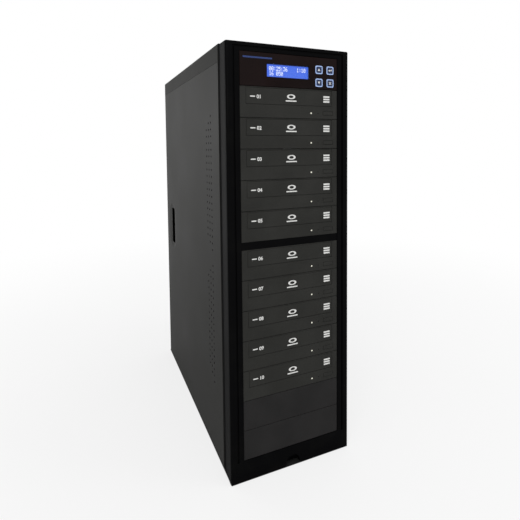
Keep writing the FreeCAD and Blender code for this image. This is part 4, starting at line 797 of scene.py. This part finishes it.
studio = {
    "rings": (0.5, 1.0, 2.0, 4.0, 8.0, 14.0),  # metres
    "steps": 64,
    "floorColour": (0.86, 0.86, 0.86),
    "floorCloud": (0.90, 0.90, 0.90),
    "cloud": 2.5,
    "rough": 0.7,
    "cloudy": 0.1,
    "specular": 0.1,
    "fade": (0.2, 1.6),
    "nearGlow": 0.76,  # share of plain white that the camera sees beside the tower
    "mirrorFade": (0.55, 1.9),
    "paintedShadowColour": (0.025, 0.025, 0.025),  # painted shadow on the floor under the tower
    "paintedShadowSoft": 0.5 * millimetre,
    "worldLevel": 0.42,
}


def makeFloor():
    mesh = bmesh.new()
    steps = studio["steps"]
    rows = []
    for radius in studio["rings"]:
        turns = [2 * math.pi * i / steps for i in range(steps)]
        rows.append([mesh.verts.new((radius * math.cos(t), radius * math.sin(t), 0)) for t in turns])
    middle = mesh.verts.new((0, 0, 0))
    for i in range(steps):
        mesh.faces.new((middle, rows[0][i], rows[0][(i + 1) % steps]))
    for row, after in zip(rows, rows[1:]):
        for i in range(steps):
            j = (i + 1) % steps
            mesh.faces.new((row[i], after[i], after[j], row[j]))
    data = bpy.data.meshes.new("studio_floor")
    mesh.to_mesh(data)
    mesh.free()
    floor = bpy.data.objects.new("studio_floor", data)
    bpy.context.scene.collection.objects.link(floor)
    finish = Finish("pale floor")
    x, y, z = finish.along()
    distance = finish.add("ShaderNodeVectorMath", {"operation": "LENGTH"}, {0: finish.place()}, "Value")
    cloud = finish.noise(studio["cloud"])
    colour = finish.shade(cloud, studio["floorColour"], studio["floorCloud"])
    low, high = cadBounds
    soft = studio["paintedShadowSoft"]
    # painted shadow: the floor under the tower's footprint is darkened and kept from glowing
    under = finish.between(x, low[0] + soft, high[0] - soft, soft)
    under = under * finish.between(y, low[1] + soft, high[1] - soft, soft)
    finish.wear({"Base Color": finish.shade(under, colour, studio["paintedShadowColour"]),
                 "Roughness": studio["rough"] + studio["cloudy"] * cloud,
                 "Specular IOR Level": studio["specular"]})
    straight, mirrored = finish.backgroundRays()
    fade = finish.rise(distance, *studio["fade"], studio["nearGlow"], 1) * straight
    fade = (fade + finish.rise(distance, *studio["mirrorFade"]) * mirrored) * (1 - under)
    glow = finish.add("ShaderNodeEmission", None, {"Color": (1.0, 1.0, 1.0), "Strength": 1.0})
    body = Wire(finish.tree, finish.shader.outputs[0])
    mixed = finish.add("ShaderNodeMixShader", None, {0: fade, 1: body, 2: glow})
    finish.plug(finish.tree.nodes["Material Output"].inputs["Surface"], mixed)
    data.materials.append(finish.owner)


def makeWorld():
    sky = Finish("studio", bpy.data.worlds)
    bpy.context.scene.world = sky.owner
    plain = sky.tree.nodes["Background"]
    sky.plug(plain.inputs["Color"], (1.0, 1.0, 1.0))
    sky.plug(plain.inputs["Strength"], studio["worldLevel"])
    white = sky.add("ShaderNodeBackground", None, {"Color": (1.0, 1.0, 1.0), "Strength": 1.0})
    straight, mirrored = sky.backgroundRays()
    lit = Wire(sky.tree, plain.outputs[0])
    seen = sky.add("ShaderNodeMixShader", None, {0: straight.largest(mirrored), 1: lit, 2: white})
    sky.plug(sky.tree.nodes["World Output"].inputs["Surface"], seen)


lamps = {
    "key": {"place": (-1.5, -1.9, 1.9), "aim": (0, -0.2, 0.35), "size": (1.0, 1.0), "power": 17},
    "low": {"place": (-1.1, 1.3, 0.62), "aim": (-0.1, -0.1, 0.45), "size": (0.5, 0.5), "power": 3.2},
    "front": {"place": (0.1, -2.4, 1.1), "aim": (0, -0.2, 0.35), "size": (1.0, 1.0), "power": 6},
    "top": {"place": (0.2, -0.1, 2.3), "aim": (0, 0, 0.3), "size": (1.6, 1.6), "power": 12},
    "right": {"place": (1.9, -1.4, 1.3), "aim": (0, -0.1, 0.3), "size": (0.9, 1.2), "power": 9},
}


def makeLamps():
    for name, lamp in lamps.items():
        data = bpy.data.lights.new(name, "AREA")
        data.shape = "RECTANGLE"
        data.size, data.size_y = lamp["size"]
        data.energy = lamp["power"]
        holder = bpy.data.objects.new("lamp_" + name, data)
        holder.location = lamp["place"]
        way = Vector(lamp["aim"]) - Vector(lamp["place"])
        holder.rotation_euler = way.to_track_quat("-Z", "Y").to_euler()
        bpy.context.scene.collection.objects.link(holder)


camera = {
    "place": (-0.26884, -0.76692, 0.46595),
    "yaw": 0.4302,
    "pitch": 0.0577,
    "roll": -0.0078,
    "focal": 428.67,  # in pixels of the photograph
    "middle": (278.45, 172.74),
    "frame": 520,
    "sensor": 36,
    "nearest": 0.01,
}


def makeCamera():
    data = bpy.data.cameras.new("photograph")
    data.sensor_width = camera["sensor"]
    data.sensor_fit = "HORIZONTAL"
    data.lens = camera["focal"] * data.sensor_width / camera["frame"]
    data.shift_x = (camera["frame"] / 2 - camera["middle"][0]) / camera["frame"]
    data.shift_y = (camera["middle"][1] - camera["frame"] / 2) / camera["frame"]
    data.clip_start = camera["nearest"]
    yaw, pitch, roll = camera["yaw"], camera["pitch"], camera["roll"]
    right = Vector((math.cos(yaw), -math.sin(yaw), 0))
    ahead = Vector((math.sin(yaw), math.cos(yaw), 0))
    upright = Vector((0, 0, 1))
    forward = ahead * math.cos(pitch) - upright * math.sin(pitch)
    top = upright * math.cos(pitch) + ahead * math.sin(pitch)
    acrossView = right * math.cos(roll) + top * math.sin(roll)
    upView = top * math.cos(roll) - right * math.sin(roll)
    turned = Matrix((acrossView, upView, -forward)).transposed().to_4x4()
    holder = bpy.data.objects.new("photograph", data)
    holder.matrix_world = Matrix.Translation(camera["place"]) @ turned
    bpy.context.scene.collection.objects.link(holder)
    bpy.context.scene.camera = holder


makeFloor()
makeWorld()
makeLamps()
makeCamera()
bpy.context.scene.view_settings.view_transform = "Standard"
print("studio done")
